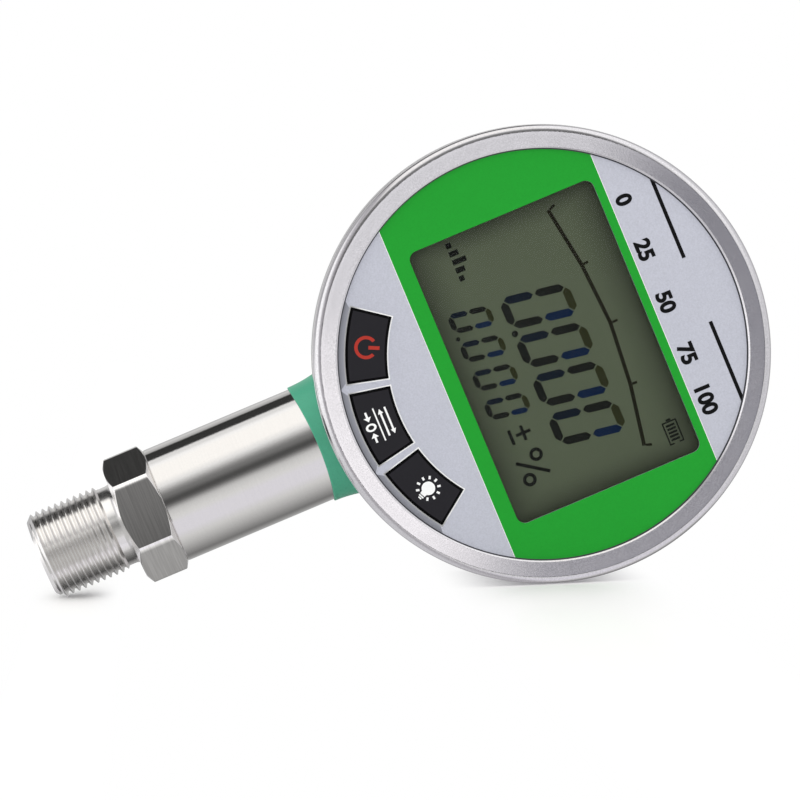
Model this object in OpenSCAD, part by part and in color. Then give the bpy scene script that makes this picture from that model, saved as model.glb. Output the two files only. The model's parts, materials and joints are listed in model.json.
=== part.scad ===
// Digital pressure gauge: a round steel case with a display and three push keys, on a threaded stem.
// Millimetres. Z runs up the stem and the dial faces -Y. The origin is the centre of the mouth of the
// pressure port, at the foot of the thread. "Depth" is measured backwards from the face of the dial.

/* [Process connection] */
// Major diameter of the connection thread
thread_d = 20; // [19.2:0.1:21]
// Length of the thread and its runout, from the port's mouth to the hexagon
connection_l = 20; // [16:0.5:26]
// Length of the plain runout under the hexagon
runout_l = 2.7; // [1:0.1:4]
// How far the plain runout lies below the thread's crests
runout_cut = 0.85; // [0.3:0.05:1]
// Bevel at the foot of the thread
thread_bevel = 1.5; // [0.5:0.1:2]
// Diameter of the pressure port
port_d = 6; // [4:0.5:8]
// Width of the hexagon across its flats
hex_af = 26; // [24:0.5:30]
// How much is turned off each corner of the hexagon
hex_turned = 0.26; // [0.1:0.02:0.8]
// Height of the hexagon
hex_h = 9.8; // [8:0.2:14]
// Height of the bevel at each end of the hexagon
hex_bevel = 1; // [0.5:0.1:1.5]
// Height of the sensor's seat above the foot of the hexagon
sensor_seat_up = 5; // [4:0.5:7]

/* [Stem] */
// How far the stem tube stands out past the hexagon's flats
tube_over = 0.2; // [0:0.1:0.6]
// Wall of the stem tube around the sensor
tube_wall = 1.4; // [1.1:0.1:1.6]
// Width of the shoulder between the tube and its neck, which goes through the case
neck_step = 2.2; // [1.8:0.1:3]
// Wall of the tube's neck
neck_wall = 1.4; // [1:0.1:2]
// Wall of the nut inside the case
nut_wall = 3.2; // [2.4:0.1:4]
// Height of the nut inside the case
nut_h = 3.6; // [3:0.2:5]
// Width of the four spanner slots in the nut
nut_slot = 3; // [2:0.2:4]
// Thickness of the washer under the nut, where it is thinnest
washer_t = 0.8; // [0.6:0.1:1.4]

/* [Boot] */
// Height of the rubber boot that shows under the case
boot_h = 5.2; // [5:0.1:8]
// How much higher the boot's foot is at the front and back than at its sides
boot_saddle = 1.2; // [0.4:0.1:1.6]
// Wall of the boot where it ends on the stem
boot_wall = 0.45; // [0.3:0.05:0.8]
// How far the boot flares out at the case
boot_flare = 0.9; // [0.4:0.1:1]
// Thickness of the boot between the tube's shoulder and the case
boot_pad = 1.6; // [1:0.1:2.4]

/* [Sensor] */
// Wall of the spigot that goes up round the sensor
spigot_wall = 2.2; // [1.4:0.1:3]
// Height of the sensor capsule
sensor_h = 11; // [9:0.5:13]
// Width of the rim round the sensor's diaphragm
diaphragm_rim = 2.5; // [2:0.1:3.5]
// Section of the sensor's sealing ring
seal_t = 1.4; // [1:0.1:1.8]
// Height of the ring that locks the sensor in
lock_h = 4; // [3:0.5:6]
// Wall of the ring that locks the sensor in
lock_wall = 3; // [2:0.1:3.5]
// Diameter of the sensor's contact pins
pin_d = 0.8; // [0.5:0.1:1]
// Thickness of the sensor's own board
sensor_board_t = 1.6; // [1:0.2:2]
// Diameter of the lead from the sensor to the main board
lead_d = 3.2; // [2.4:0.2:4]
// Radius of the lead's bend, along its middle
lead_bend = 6; // [5:0.5:8]
// How far the lead rises above the neck before it bends
lead_rise = 9; // [6:0.5:12]

/* [Case] */
// Height of the dial's centre above the foot of the thread
dial_h = 118.4; // [112:0.1:130]
// Outer diameter of the case behind the bezel
case_d = 96.8; // [84:0.2:120]
// Wall of the drawn case
case_wall = 1.2; // [0.8:0.1:1.4]
// Outer radius of the case's back edge
case_corner = 4.4; // [3:0.2:5]
// Room in front of and behind the nut inside the case
nut_room = 0.6; // [0.4:0.1:3]

/* [Bezel] */
// How far the bezel stands out past the case
bezel_step = 1.6; // [1.5:0.1:2.4]
// Width of the bezel's front
bezel_rim = 5.25; // [4.5:0.05:6]
// Thickness of the bezel's front, which stands proud of the dial
bezel_t = 1; // [0.8:0.1:1.5]
// Gap between the bezel's rear edge and the boot
bezel_room = 0.45; // [0.3:0.05:2]
// Wall of the bezel's side
bezel_wall = 1.2; // [0.9:0.05:1.3]
// Radius of the bezel's front edge
bezel_round = 1.6; // [1:0.1:1.8]
// Width of the bevel round the bezel's opening
bezel_bevel = 0.4; // [0.2:0.1:0.6]
// Depth of the fine groove round the bezel's side
groove_depth = 2; // [1.6:0.1:4]
// Width of that groove
groove_w = 0.5; // [0.3:0.1:1]
// How deep the groove is cut
groove_cut = 0.25; // [0.1:0.05:0.4]
// Length of the rolled edge that grips the case
grip_l = 1; // [0.6:0.1:2]

/* [Dial] */
// Thickness of the printed overlay
overlay_t = 0.5; // [0.3:0.1:0.8]
// How far the printed overlay reaches under the bezel's front
overlay_margin = 2.05; // [1.5:0.05:2.6]
// Thickness of the moulded front panel
panel_t = 2; // [1.8:0.1:2.6]
// Thickness of the gasket between the panel and the case
gasket_t = 0.6; // [0.4:0.1:1]
// Height of the stiffening rim behind the panel
rim_h = 4; // [2:0.5:5]
// Thickness of the stiffening rim
rim_t = 1.4; // [1:0.1:1.6]

/* [Display] */
// Share of the bezel's opening that the display window is wide
window_w_share = 0.713; // [0.67:0.001:0.717]
// Share of the bezel's opening that the display window is high
window_h_share = 0.4827; // [0.44:0.001:0.488]
// Share of the bezel's opening that the window lies above the dial's centre
window_up_share = 0.029; // [0.02:0.001:0.032]
// How far the window lies to the right of the dial's centre
window_x = 0.5; // [-1:0.1:1]
// Radius of the window's corners
window_corner = 2; // [1:0.1:3]
// Thickness of the clear window
lens_t = 1; // [0.6:0.1:1.2]
// How far the clear window reaches behind the panel on each side
lens_margin = 1.5; // [1:0.1:2]
// How far the display's glass reaches past the window on each side
glass_margin = 1.6; // [1.2:0.1:2]
// Thickness of the display's glass
glass_t = 2.6; // [1.8:0.2:3]
// Thickness of the light guide behind the glass
guide_t = 2.8; // [2:0.2:3]
// Wall of the frame that holds the glass
holder_wall = 1.2; // [0.8:0.1:1.4]
// Thickness of each contact strip
strip_t = 2.2; // [1.6:0.1:2.6]
// Gap between the light guide and the main board
guide_room = 0.65; // [0.4:0.05:2]

/* [Keys] */
// Gap between the keys' outer edge and the bezel's opening
key_edge = 1.95; // [1.6:0.05:3]
// Width of the keys, from their inner to their outer edge
key_w = 8.6; // [7:0.1:9]
// Angle that each key spans
key_span_angle = 21.8; // [18:0.2:22]
// Angle between neighbouring keys
key_pitch_angle = 25.4; // [25:0.1:27]
// How far the keys stand proud of the dial
key_proud = 0.5; // [0.3:0.1:0.8]
// Width of the bevel round the top of each key
key_bevel = 0.35; // [0.2:0.05:0.6]
// Travel of the keys
key_travel = 0.5; // [0.3:0.1:0.6]
// Gap round each key
key_gap = 0.25; // [0.15:0.05:0.35]
// How far the flange that keeps a key in reaches past it
key_lip = 0.7; // [0.5:0.05:0.75]
// Thickness of that flange
key_flange = 0.8; // [0.6:0.1:1]
// Width of the key switches
switch_w = 6; // [5:0.2:7]
// Height of the key switches' bodies on the board
switch_h = 3.4; // [2.6:0.1:3.6]
// Diameter of the key switches' plungers
plunger_d = 3.4; // [2.6:0.1:3.6]

/* [Main board] */
// Thickness of the main board
board_t = 1.6; // [1:0.1:1.6]
// Gap between the main board's edge and the case
board_edge = 2.9; // [2.4:0.1:4]
// Distance from the board's edge in to the middle of each post
post_edge = 3.1; // [2.9:0.05:3.3]
// Diameter of each post
post_d = 5.2; // [4.6:0.1:5.4]
// Diameter of the board screws
board_screw_d = 2; // [1.6:0.1:2.4]
// Length of the board screws in the posts
board_screw_l = 4; // [3:0.5:4.5]
// Width of the controller chip
chip_w = 12; // [8:0.5:14]
// Height of the controller chip
chip_h = 1.4; // [1:0.1:2]
// Width of the socket for the sensor's lead
socket_w = 10; // [8:0.5:12]
// Height of the socket above the board
socket_h = 5; // [4:0.5:6]
// Diameter of the board's capacitors
capacitor_d = 6; // [4:0.5:7]
// Height of the board's capacitors
capacitor_h = 7; // [5:0.5:9]

/* [Battery] */
// Diameter of a battery cell
cell_d = 10.5; // [10:0.1:10.8]
// Length of a battery cell
cell_l = 44.5; // [40:0.5:50]
// Height of the cap at the end of a battery cell
cap_h = 1.4; // [1:0.1:2]
// Space for the contacts at each end of the cells
contact_room = 1.3; // [1:0.1:1.6]
// Wall of the battery box
box_wall = 1.4; // [1:0.1:1.8]
// Thickness of the battery box's flange
box_flange = 2; // [1.5:0.1:2.5]
// Diameter of the battery wires
wire_d = 1.4; // [1:0.1:2]

/* [Rear cover] */
// Room round the corners of the battery bay in the opening of the case's back
opening_room = 0.4; // [0.2:0.1:1]
// Width of the ledge that the rear cover's gasket lies on
cover_ledge = 6.4; // [6:0.1:7]
// Thickness of the rear cover
cover_t = 1.5; // [1.2:0.1:2]
// Thickness of the gasket under the rear cover
cover_gasket_t = 0.5; // [0.3:0.1:0.8]
// Distance from the opening's edge out to the middle of each screw
screw_out = 3; // [2.8:0.1:3.2]
// Diameter of the cover's screws
cover_screw_d = 3; // [2.5:0.1:3.2]
// Diameter of the cover screws' heads
cover_head_d = 5.2; // [4.6:0.1:5.4]
// Length of the cover screws
cover_screw_l = 7; // [6:0.5:8]

/* [Hidden] */
$fn = 128;
cell_count = 3;
pin_count = 5;

// Overrun of every cut
over = 1;
// Gap between pieces that are pushed together
fit = 0.05;
// Gap between pieces that lie loosely beside each other
slack = 0.3;
// Wall left between a cut and the next surface
web = 0.6;
// Share of a screw's head that its cross recess spans
drive_share = 0.7;
// Thickness of the lead's socket, as a share of its width
socket_share = 0.6;

// Radii of the stem's pieces
runout_r = thread_d / 2 - runout_cut;
hex_corner_r = hex_af / 2 / cos(30) - hex_turned;
tube_r = hex_af / 2 + tube_over;
tube_bore_r = tube_r - tube_wall;
spigot_r = tube_bore_r - fit;
cavity_r = spigot_r - spigot_wall;
sensor_r = cavity_r - fit;
lock_bore_r = sensor_r - lock_wall;
neck_r = tube_r - neck_step;
neck_bore_r = neck_r - neck_wall;
nut_r = neck_r + nut_wall;
boot_top_r = tube_r + boot_wall + boot_flare;

// Depths behind the face of the dial
panel_mid = overlay_t + panel_t / 2;
panel_back = overlay_t + panel_t;
case_front = panel_back + gasket_t;
lens_front = panel_back - lens_t;
glass_front = panel_back + fit;
glass_back = glass_front + glass_t;
board_depth = glass_back + guide_t + guide_room;
board_back = board_depth + board_t;
face_to_stem = board_back + nut_room + nut_r;
bezel_depth = face_to_stem - boot_top_r - bezel_room;
flange_back = face_to_stem + nut_r + nut_room + box_flange;
recess_floor = flange_back + case_wall;
case_depth = recess_floor + cover_gasket_t + cover_t;

// Heights along the stem
hex_top = connection_l + hex_h;
cavity_floor = connection_l + sensor_seat_up;
capsule_top = cavity_floor + sensor_h;
lock_top = capsule_top + lock_h;
spigot_top = lock_top + web;
shoulder_h = dial_h - case_d / 2 - boot_pad;
step_h = shoulder_h - tube_wall;
case_in_r = case_d / 2 - case_wall;
nut_seat = dial_h - sqrt(case_in_r * case_in_r - nut_r * nut_r) + washer_t;
nut_top = nut_seat + nut_h;
neck_top = nut_top + web;
sensor_board_top = spigot_top + sensor_board_t;
turn_h = neck_top + lead_rise;
socket_down = dial_h - turn_h - lead_bend;

// Groove of the sealing ring
groove_h = seal_t + 2 * fit;
groove_up = sensor_h / 3;
seal_r = cavity_r - fit - seal_t / 2;

// Radii round the dial's centre
bezel_r = case_d / 2 + bezel_step;
open_r = bezel_r - bezel_rim;
panel_r = bezel_r - bezel_wall - 2 * slack;
rim_r = case_in_r - slack;
key_out = open_r - key_edge;
key_in = key_out - key_w;
board_r = case_in_r - board_edge;
post_ring = board_r - post_edge;

// Places of the posts and of the cover's screws, as angles up from the bottom of the dial
post_angles = [50, -50, 152, -152];
cover_angles = [45, 135, 225, 315];

// Outlines of the display's pieces
window_w = 2 * open_r * window_w_share;
window_h = 2 * open_r * window_h_share;
window_up = 2 * open_r * window_up_share;
lens_w = window_w + 2 * lens_margin;
lens_h = window_h + 2 * lens_margin;
glass_w = window_w + 2 * glass_margin;
glass_h = window_h + 2 * glass_margin;
holder_in_w = glass_w + 2 * fit;
holder_in_h = glass_h + 2 * fit;

// Keys, and their switches on the board
key_mid = (key_in + key_out) / 2;
flange_front = panel_back + fit;
flange_rear = flange_front + key_flange;
switch_front = board_depth - switch_h;
plunger_end = switch_front + switch_h / 2;

// Battery box, with its cells lying along X
cell_pitch = cell_d + slack;
cell_axis_depth = flange_back + slack - cell_d / 2;
bay_l = cell_l + 2 * contact_room;
bay_h = cell_count * cell_pitch + slack;
bay_floor = cell_axis_depth - cell_d / 2 - fit;
box_floor = bay_floor - box_wall;
opening_r = sqrt(pow(cell_l / 2, 2) + pow(bay_h / 2, 2)) + opening_room;
recess_r = opening_r + cover_ledge;
cover_r = recess_r - slack;
screw_ring = opening_r + screw_out;
insert_d = cover_screw_d + 2 * web;
insert_l = cover_screw_l - cover_t - cover_gasket_t - case_wall;
boss_d = insert_d + 2 * box_wall;
head_h = (cover_head_d - cover_screw_d) / 2;
wire_x = cell_l / 2 - 2 * wire_d;

// The dial's own frame: x to the right, y up and z towards the viewer
module at_dial() {
    translate([0, -face_to_stem, dial_h]) rotate([90, 0, 0]) children();
}

// A flat outline from one depth, as thick as t
module slab(depth, t) {
    translate([0, 0, -depth - t]) linear_extrude(t) children();
}

module disc(r, depth, t) {
    translate([0, 0, -depth - t]) cylinder(h = t, r = r);
}

// A block with round corners, centred on [x, y]
module block(w, h, corner, depth, t, x = 0, y = 0) {
    translate([x, y, 0]) {
        translate([-w / 2 + corner, -h / 2, -depth - t]) cube([w - 2 * corner, h, t]);
        translate([-w / 2, -h / 2 + corner, -depth - t]) cube([w, h - 2 * corner, t]);
        for (sx = [-1, 1], sy = [-1, 1])
            translate([sx * (w / 2 - corner), sy * (h / 2 - corner), 0]) disc(corner, depth, t);
    }
}

module box(w, h, depth, t, x = 0, y = 0) {
    translate([x - w / 2, y - h / 2, -depth - t]) cube([w, h, t]);
}

// Turns children from the bottom of the dial round to an angle, at a radius
module around(angle, r) {
    rotate(angle) translate([0, -r, 0]) children();
}

// A sector between two radii, grown on every side by grow
module sector(grow, depth, t) {
    reach = 2 * key_out;
    half = key_span_angle / 2;
    intersection() {
        difference() {
            disc(key_out + grow, depth, t);
            disc(key_in - grow, depth - over, t + 2 * over);
        }
        translate([0, grow / sin(half), 0]) slab(depth - over, t + 2 * over)
            polygon([
                [0, 0], [-reach * sin(half), -reach * cos(half)], [reach * sin(half), -reach * cos(half)]
            ]);
    }
}

module key_cap() {
    sector(-key_bevel, -key_proud, key_bevel);
    sector(0, key_bevel - key_proud, key_proud - key_bevel + flange_front);
    sector(key_lip, flange_front, key_flange);
    around(0, key_mid) disc(plunger_d / 2, flange_rear, (switch_front - flange_rear - key_travel) / 2);
}

module key(i) {
    at_dial() rotate(i * key_pitch_angle) key_cap();
}

// The switch's own plunger, from the key's stub down into the switch
module plunger(i) {
    top = flange_rear + (switch_front - flange_rear - key_travel) / 2;
    at_dial() around(i * key_pitch_angle, key_mid) disc(plunger_d / 2, top, plunger_end - top);
}

// Stem

module process_connection() {
    r = thread_d / 2;
    thread_top = connection_l - runout_l;
    color("silver") difference() {
        union() {
            rotate_extrude() polygon([
                [0, 0], [r - thread_bevel, 0], [r, thread_bevel], [r, thread_top],
                [runout_r, thread_top], [runout_r, connection_l], [0, connection_l]
            ]);
            intersection() {
                translate([0, 0, connection_l]) cylinder(h = hex_h, r = hex_af / 2 / cos(30), $fn = 6);
                rotate_extrude() polygon([
                    [0, connection_l], [hex_af / 2, connection_l],
                    [hex_corner_r, connection_l + hex_bevel],
                    [hex_corner_r, hex_top - hex_bevel], [hex_af / 2, hex_top], [0, hex_top]
                ]);
            }
            translate([0, 0, connection_l]) cylinder(h = spigot_top - connection_l, r = spigot_r);
        }
        translate([0, 0, -over]) cylinder(h = cavity_floor + 2 * over, d = port_d);
        translate([0, 0, cavity_floor]) cylinder(h = spigot_top, r = cavity_r);
    }
}

module stem_tube() {
    color("lightgray") rotate_extrude() polygon([
        [tube_bore_r, hex_top], [tube_r, hex_top], [tube_r, shoulder_h],
        [neck_r, shoulder_h], [neck_r, neck_top], [neck_bore_r, neck_top],
        [neck_bore_r, step_h], [tube_bore_r, step_h]
    ]);
}

module sensor_capsule() {
    groove_foot = cavity_floor + groove_up;
    color("gainsboro") difference() {
        translate([0, 0, cavity_floor]) cylinder(h = sensor_h, r = sensor_r);
        translate([0, 0, cavity_floor - over]) cylinder(h = over + web, r = sensor_r - diaphragm_rim);
        difference() {
            translate([0, 0, groove_foot]) cylinder(h = groove_h, r = sensor_r + over);
            translate([0, 0, groove_foot - over])
                cylinder(h = groove_h + 2 * over, r = seal_r - seal_t / 2 - fit);
        }
        translate([0, 0, capsule_top - web]) cylinder(h = over + web, r = lock_bore_r - web);
    }
}

module pin_places() {
    for (i = [1 : pin_count]) rotate(i * 360 / pin_count) translate([lock_bore_r / 2, 0, 0]) children();
}

module sensor_pins() {
    color("gold") pin_places()
        translate([0, 0, capsule_top - web]) cylinder(h = sensor_board_top - capsule_top + web, d = pin_d);
}

module sensor_seal_ring() {
    color("black") translate([0, 0, cavity_floor + groove_up + groove_h / 2])
        rotate_extrude() translate([seal_r, 0]) circle(d = seal_t);
}

module sensor_lock_ring() {
    slot_w = lock_h / 2;
    color("silver") difference() {
        translate([0, 0, capsule_top]) cylinder(h = lock_h, r = cavity_r - fit);
        translate([0, 0, capsule_top - over]) cylinder(h = lock_h + 2 * over, r = lock_bore_r);
        translate([-tube_r, -slot_w / 2, lock_top - slot_w]) cube([2 * tube_r, slot_w, slot_w + over]);
    }
}

module sensor_board() {
    color("darkgreen") difference() {
        translate([0, 0, spigot_top]) cylinder(h = sensor_board_t, r = spigot_r - web);
        pin_places() translate([0, 0, spigot_top - over])
            cylinder(h = sensor_board_t + 2 * over, r = pin_d / 2 + 2 * fit);
    }
}

// The lead climbs the stem's axis, bends forwards and ends at its socket on the main board
module sensor_lead() {
    end_y = board_back + socket_h - face_to_stem;
    color("dimgray") {
        translate([0, 0, sensor_board_top]) cylinder(h = turn_h - sensor_board_top, d = lead_d);
        translate([0, -lead_bend, turn_h]) rotate([90, 0, 90])
            rotate_extrude(angle = 90) translate([lead_bend, 0]) circle(d = lead_d);
        translate([0, -lead_bend, turn_h + lead_bend]) rotate([90, 0, 0])
            cylinder(h = -lead_bend - end_y, d = lead_d);
    }
}

module lead_grommet() {
    grommet_h = 2 * lead_d;
    color("black") difference() {
        union() {
            translate([0, 0, neck_top - grommet_h]) cylinder(h = grommet_h, r = neck_bore_r - fit);
            translate([0, 0, neck_top]) cylinder(h = web, r = neck_r);
        }
        translate([0, 0, neck_top - grommet_h - over])
            cylinder(h = grommet_h + web + 2 * over, r = lead_d / 2 + fit);
    }
}

// Outer line of the boot: a lip on the stem that flares out towards the case
function boot_r(share) = tube_r + boot_wall + boot_flare * pow(share, 2);

module stem_boot() {
    foot = dial_h - case_d / 2 - boot_h;
    wall_drop = case_d / 2 - sqrt(pow(case_d / 2, 2) - pow(boot_top_r, 2));
    top = dial_h - case_d / 2 + wall_drop;
    steps = 6;
    saddle_r = (pow(boot_r(0), 2) / boot_saddle + boot_saddle) / 2;
    color("mediumaquamarine") difference() {
        intersection() {
            rotate_extrude() polygon(concat(
                [[tube_r + fit, foot], [tube_r + boot_wall - 2 * fit, foot]],
                [for (i = [0 : steps]) [boot_r(i / steps), foot + 2 * fit + (top - foot) * i / steps]],
                [[neck_r + fit, top + 2 * fit], [neck_r + fit, shoulder_h], [tube_r + fit, shoulder_h]]
            ));
            translate([-2 * tube_r, 0, foot + saddle_r]) rotate([0, 90, 0])
                cylinder(h = 4 * tube_r, r = saddle_r);
        }
        at_dial() disc(case_d / 2 + fit, -case_depth, 3 * case_depth);
    }
}

module saddle_washer() {
    color("dimgray") intersection() {
        difference() {
            translate([0, 0, nut_seat - nut_r]) cylinder(h = nut_r, r = nut_r);
            translate([0, 0, -over]) cylinder(h = dial_h, r = neck_r + 2 * fit);
        }
        at_dial() disc(case_in_r - fit, -case_depth, 3 * case_depth);
    }
}

module stem_nut() {
    color("silver") difference() {
        translate([0, 0, nut_seat]) cylinder(h = nut_h, r = nut_r);
        translate([0, 0, -over]) cylinder(h = dial_h, r = neck_r + fit);
        for (turn = [45, 135])
            rotate(turn) translate([-2 * nut_r, -nut_slot / 2, nut_top - nut_h / 3])
                difference() {
                    cube([4 * nut_r, nut_slot, nut_h]);
                    translate([2 * nut_r - neck_r - web, -over, -over])
                        cube([2 * neck_r + 2 * web, nut_slot + 2 * over, nut_h + 2 * over]);
                }
    }
}

// Case

// The drawn cup, with a stepped recess for the rear cover, as radius and depth
module case_section() {
    out = case_d / 2;
    steps = 8;
    inner = case_corner - case_wall;
    mid_r = out - case_corner;
    mid_depth = case_depth - case_corner;
    polygon(concat(
        [[out, -case_front]],
        [for (i = [0 : steps])
            [mid_r + case_corner * cos(90 * i / steps), -mid_depth - case_corner * sin(90 * i / steps)]],
        [
            [recess_r, -case_depth], [recess_r, -recess_floor],
            [opening_r, -recess_floor], [opening_r, -flange_back],
            [recess_r + case_wall, -flange_back], [recess_r + case_wall, case_wall - case_depth]
        ],
        [for (i = [0 : steps])
            [mid_r + inner * sin(90 * i / steps), -mid_depth - inner * cos(90 * i / steps)]],
        [[out - case_wall, -case_front]]
    ));
}

module cover_places() {
    for (a = cover_angles) around(a, screw_ring) children();
}

module case_shell() {
    color("silver") difference() {
        at_dial() rotate_extrude() case_section();
        translate([0, 0, shoulder_h]) cylinder(h = case_d / 4, r = neck_r + 2 * fit);
        at_dial() cover_places() disc(cover_screw_d / 2 + 2 * fit, flange_back - over, case_wall + 2 * over);
    }
}

module bezel_ring() {
    front = bezel_r - 2 * fit;
    in = bezel_r - bezel_wall;
    steps = 6;
    mid_r = front - bezel_round;
    mid_depth = bezel_round - bezel_t;
    edge = groove_depth + groove_w;
    grip_r = case_d / 2 + 2 * fit;
    color("silver") at_dial() rotate_extrude() polygon(concat(
        [[open_r, 0], [open_r, bezel_t - bezel_bevel], [open_r + bezel_bevel, bezel_t]],
        [for (i = [0 : steps])
            [mid_r + bezel_round * sin(90 * i / steps), -mid_depth + bezel_round * cos(90 * i / steps)]],
        [
            [front, -groove_depth], [front - groove_cut, -groove_depth], [front - groove_cut, -edge],
            [bezel_r, -edge], [bezel_r, groove_cut - bezel_depth], [bezel_r - groove_cut, -bezel_depth],
            [grip_r, -bezel_depth], [grip_r, grip_l - bezel_depth], [in, grip_l - bezel_depth], [in, 0]
        ]
    ));
}

module panel_gasket() {
    color("black") at_dial() difference() {
        disc(panel_r, panel_back, gasket_t);
        disc(case_in_r, panel_back - over, gasket_t + 2 * over);
    }
}

module key_openings(depth, t) {
    for (i = [-1 : 1]) rotate(i * key_pitch_angle) sector(key_gap, depth, t);
}

module post_places() {
    for (a = post_angles) around(a, post_ring) children();
}

module front_panel() {
    color("dimgray") at_dial() difference() {
        union() {
            disc(panel_r, overlay_t, panel_t);
            difference() {
                disc(rim_r, panel_back, rim_h);
                disc(rim_r - rim_t, panel_back - over, rim_h + 2 * over);
            }
            post_places() disc(post_d / 2, panel_mid, board_depth - panel_mid);
        }
        block(window_w, window_h, window_corner, overlay_t - over, panel_t + 2 * over, window_x, window_up);
        block(lens_w + 2 * fit, lens_h + 2 * fit, window_corner, lens_front, lens_t + over,
            window_x, window_up);
        key_openings(overlay_t - over, panel_t + 2 * over);
        post_places() disc(board_screw_d / 2 + fit, board_depth - board_screw_l - web, 2 * board_screw_l);
    }
}

module face_overlay() {
    color("limegreen") at_dial() difference() {
        disc(open_r + overlay_margin, 0, overlay_t);
        block(window_w, window_h, window_corner, -over, overlay_t + 2 * over, window_x, window_up);
        key_openings(-over, overlay_t + 2 * over);
    }
}

// Display

module display_window() {
    color("lightcyan", 0.4) at_dial()
        block(lens_w, lens_h, window_corner, lens_front, lens_t, window_x, window_up);
}

module display_glass() {
    color("darkseagreen") at_dial() box(glass_w, glass_h, glass_front, glass_t, window_x, window_up);
}

module light_guide() {
    guide_h = glass_h - 2 * (strip_t + slack);
    color("white") at_dial() box(glass_w, guide_h, glass_back, guide_t, window_x, window_up);
}

module display_holder() {
    t = board_depth - glass_front;
    color("whitesmoke") at_dial() difference() {
        box(holder_in_w + 2 * holder_wall, holder_in_h + 2 * holder_wall, glass_front, t,
            window_x, window_up);
        box(holder_in_w, holder_in_h, glass_front - over, t + 2 * over, window_x, window_up);
    }
}

module contact_strips() {
    color("slategray") at_dial() for (side = [-1, 1])
        box(glass_w, strip_t, glass_back, board_depth - glass_back,
            window_x, window_up + side * (glass_h - strip_t) / 2);
}

// Keys and their switches

module power_key() { color("black") key(-1); }

module unit_key() { color("black") key(0); }

module light_key() { color("black") key(1); }

module power_plunger() { color("ivory") plunger(-1); }

module unit_plunger() { color("ivory") plunger(0); }

module light_plunger() { color("ivory") plunger(1); }

module key_switches() {
    bore = plunger_d / 2 + 2 * fit;
    color("silver") at_dial() for (i = [-1 : 1]) around(i * key_pitch_angle, key_mid) difference() {
        box(switch_w, switch_w, switch_front, switch_h);
        disc(bore, switch_front - over, plunger_end + key_travel + fit + over - switch_front);
    }
}

// Main board

module main_board() {
    color("darkgreen") at_dial() difference() {
        disc(board_r, board_depth, board_t);
        post_places() disc(board_screw_d / 2 + 2 * fit, board_depth - over, board_t + 2 * over);
    }
}

module board_screws() {
    head_r = board_screw_d;
    color("silver") at_dial() post_places() difference() {
        union() {
            disc(board_screw_d / 2, board_depth - board_screw_l, board_screw_l + board_t);
            disc(head_r, board_back, board_screw_d);
        }
        box(2 * head_r, head_r / 3, board_back + board_screw_d / 2, board_screw_d);
        box(head_r / 3, 2 * head_r, board_back + board_screw_d / 2, board_screw_d);
    }
}

module controller_chip() {
    color("black") at_dial() box(chip_w, chip_w, board_back, chip_h, 0, chip_w);
}

module lead_socket() {
    socket_t = socket_w * socket_share;
    color("ivory") at_dial() difference() {
        box(socket_w, socket_t, board_back, socket_h, 0, -socket_down);
        box(socket_w - 4 * web, web, board_back + socket_h / 2, socket_h,
            0, socket_t / 2 - 2 * web - socket_down);
    }
}

module board_capacitors() {
    color("navy") at_dial() for (side = [-1, 1])
        translate([side * (chip_w + capacitor_d), chip_w, 0]) disc(capacitor_d / 2, board_back, capacitor_h);
}

// Battery and rear cover

module battery_box() {
    t = flange_back - box_floor;
    color("dimgray") at_dial() difference() {
        union() {
            disc(cover_r, flange_back - box_flange, box_flange);
            box(bay_l + 2 * box_wall, bay_h + 2 * box_wall, box_floor, t);
            cover_places() disc(boss_d / 2, flange_back - insert_l - box_wall, insert_l + box_wall);
        }
        box(bay_l, bay_h, bay_floor, case_depth);
        cover_places() disc(insert_d / 2 + fit, flange_back - insert_l, 2 * insert_l);
        for (side = [-1, 1]) translate([side * wire_x, 0, 0]) disc(wire_d / 2 + 2 * fit, box_floor - over, t);
    }
}

// Cell i of the row, counted from the top
module battery_cell(i) {
    y = ((cell_count - 1) / 2 - i) * cell_pitch;
    turn = i % 2 == 0 ? 1 : -1;
    at_dial() translate([0, y, -cell_axis_depth]) scale([turn, 1, 1]) rotate([0, 90, 0]) {
        translate([0, 0, -cell_l / 2]) cylinder(h = cell_l - cap_h, d = cell_d);
        translate([0, 0, cell_l / 2 - cap_h]) cylinder(h = cap_h, d = cell_d / 3);
    }
}

module battery_cell_1() { color("steelblue") battery_cell(0); }

module battery_cell_2() { color("steelblue") battery_cell(1); }

module battery_cell_3() { color("steelblue") battery_cell(2); }

// Places of the contacts at one end of each cell: the sprung end, or the end with the cap
module contact_places(sprung) {
    for (i = [0 : cell_count - 1])
        translate([0, ((cell_count - 1) / 2 - i) * cell_pitch, -cell_axis_depth])
            rotate([0, ((i % 2 == 0) == sprung) ? -90 : 90, 0]) translate([0, 0, cell_l / 2]) children();
}

module battery_springs() {
    color("silver") at_dial() contact_places(true)
        cylinder(h = contact_room, r1 = cell_d / 6, r2 = cell_d / 3);
}

module battery_tabs() {
    color("silver") at_dial() contact_places(false)
        translate([-cell_d / 3, -cell_d / 3, contact_room / 2])
            cube([cell_d * 2 / 3, cell_d * 2 / 3, contact_room / 2]);
}

module battery_wires() {
    color("red") at_dial() for (side = [-1, 1])
        translate([side * wire_x, 0, 0]) disc(wire_d / 2, board_back, bay_floor - board_back);
}

module cover_inserts() {
    color("goldenrod") at_dial() cover_places() difference() {
        disc(insert_d / 2, flange_back - insert_l, insert_l);
        disc(cover_screw_d / 2 + fit, flange_back - insert_l - over, insert_l + 2 * over);
    }
}

module cover_gasket() {
    color("black") at_dial() difference() {
        disc(cover_r, recess_floor, cover_gasket_t);
        disc(opening_r, recess_floor - over, cover_gasket_t + 2 * over);
        cover_places() disc(cover_screw_d / 2 + 2 * fit, recess_floor - over, cover_gasket_t + 2 * over);
    }
}

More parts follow.
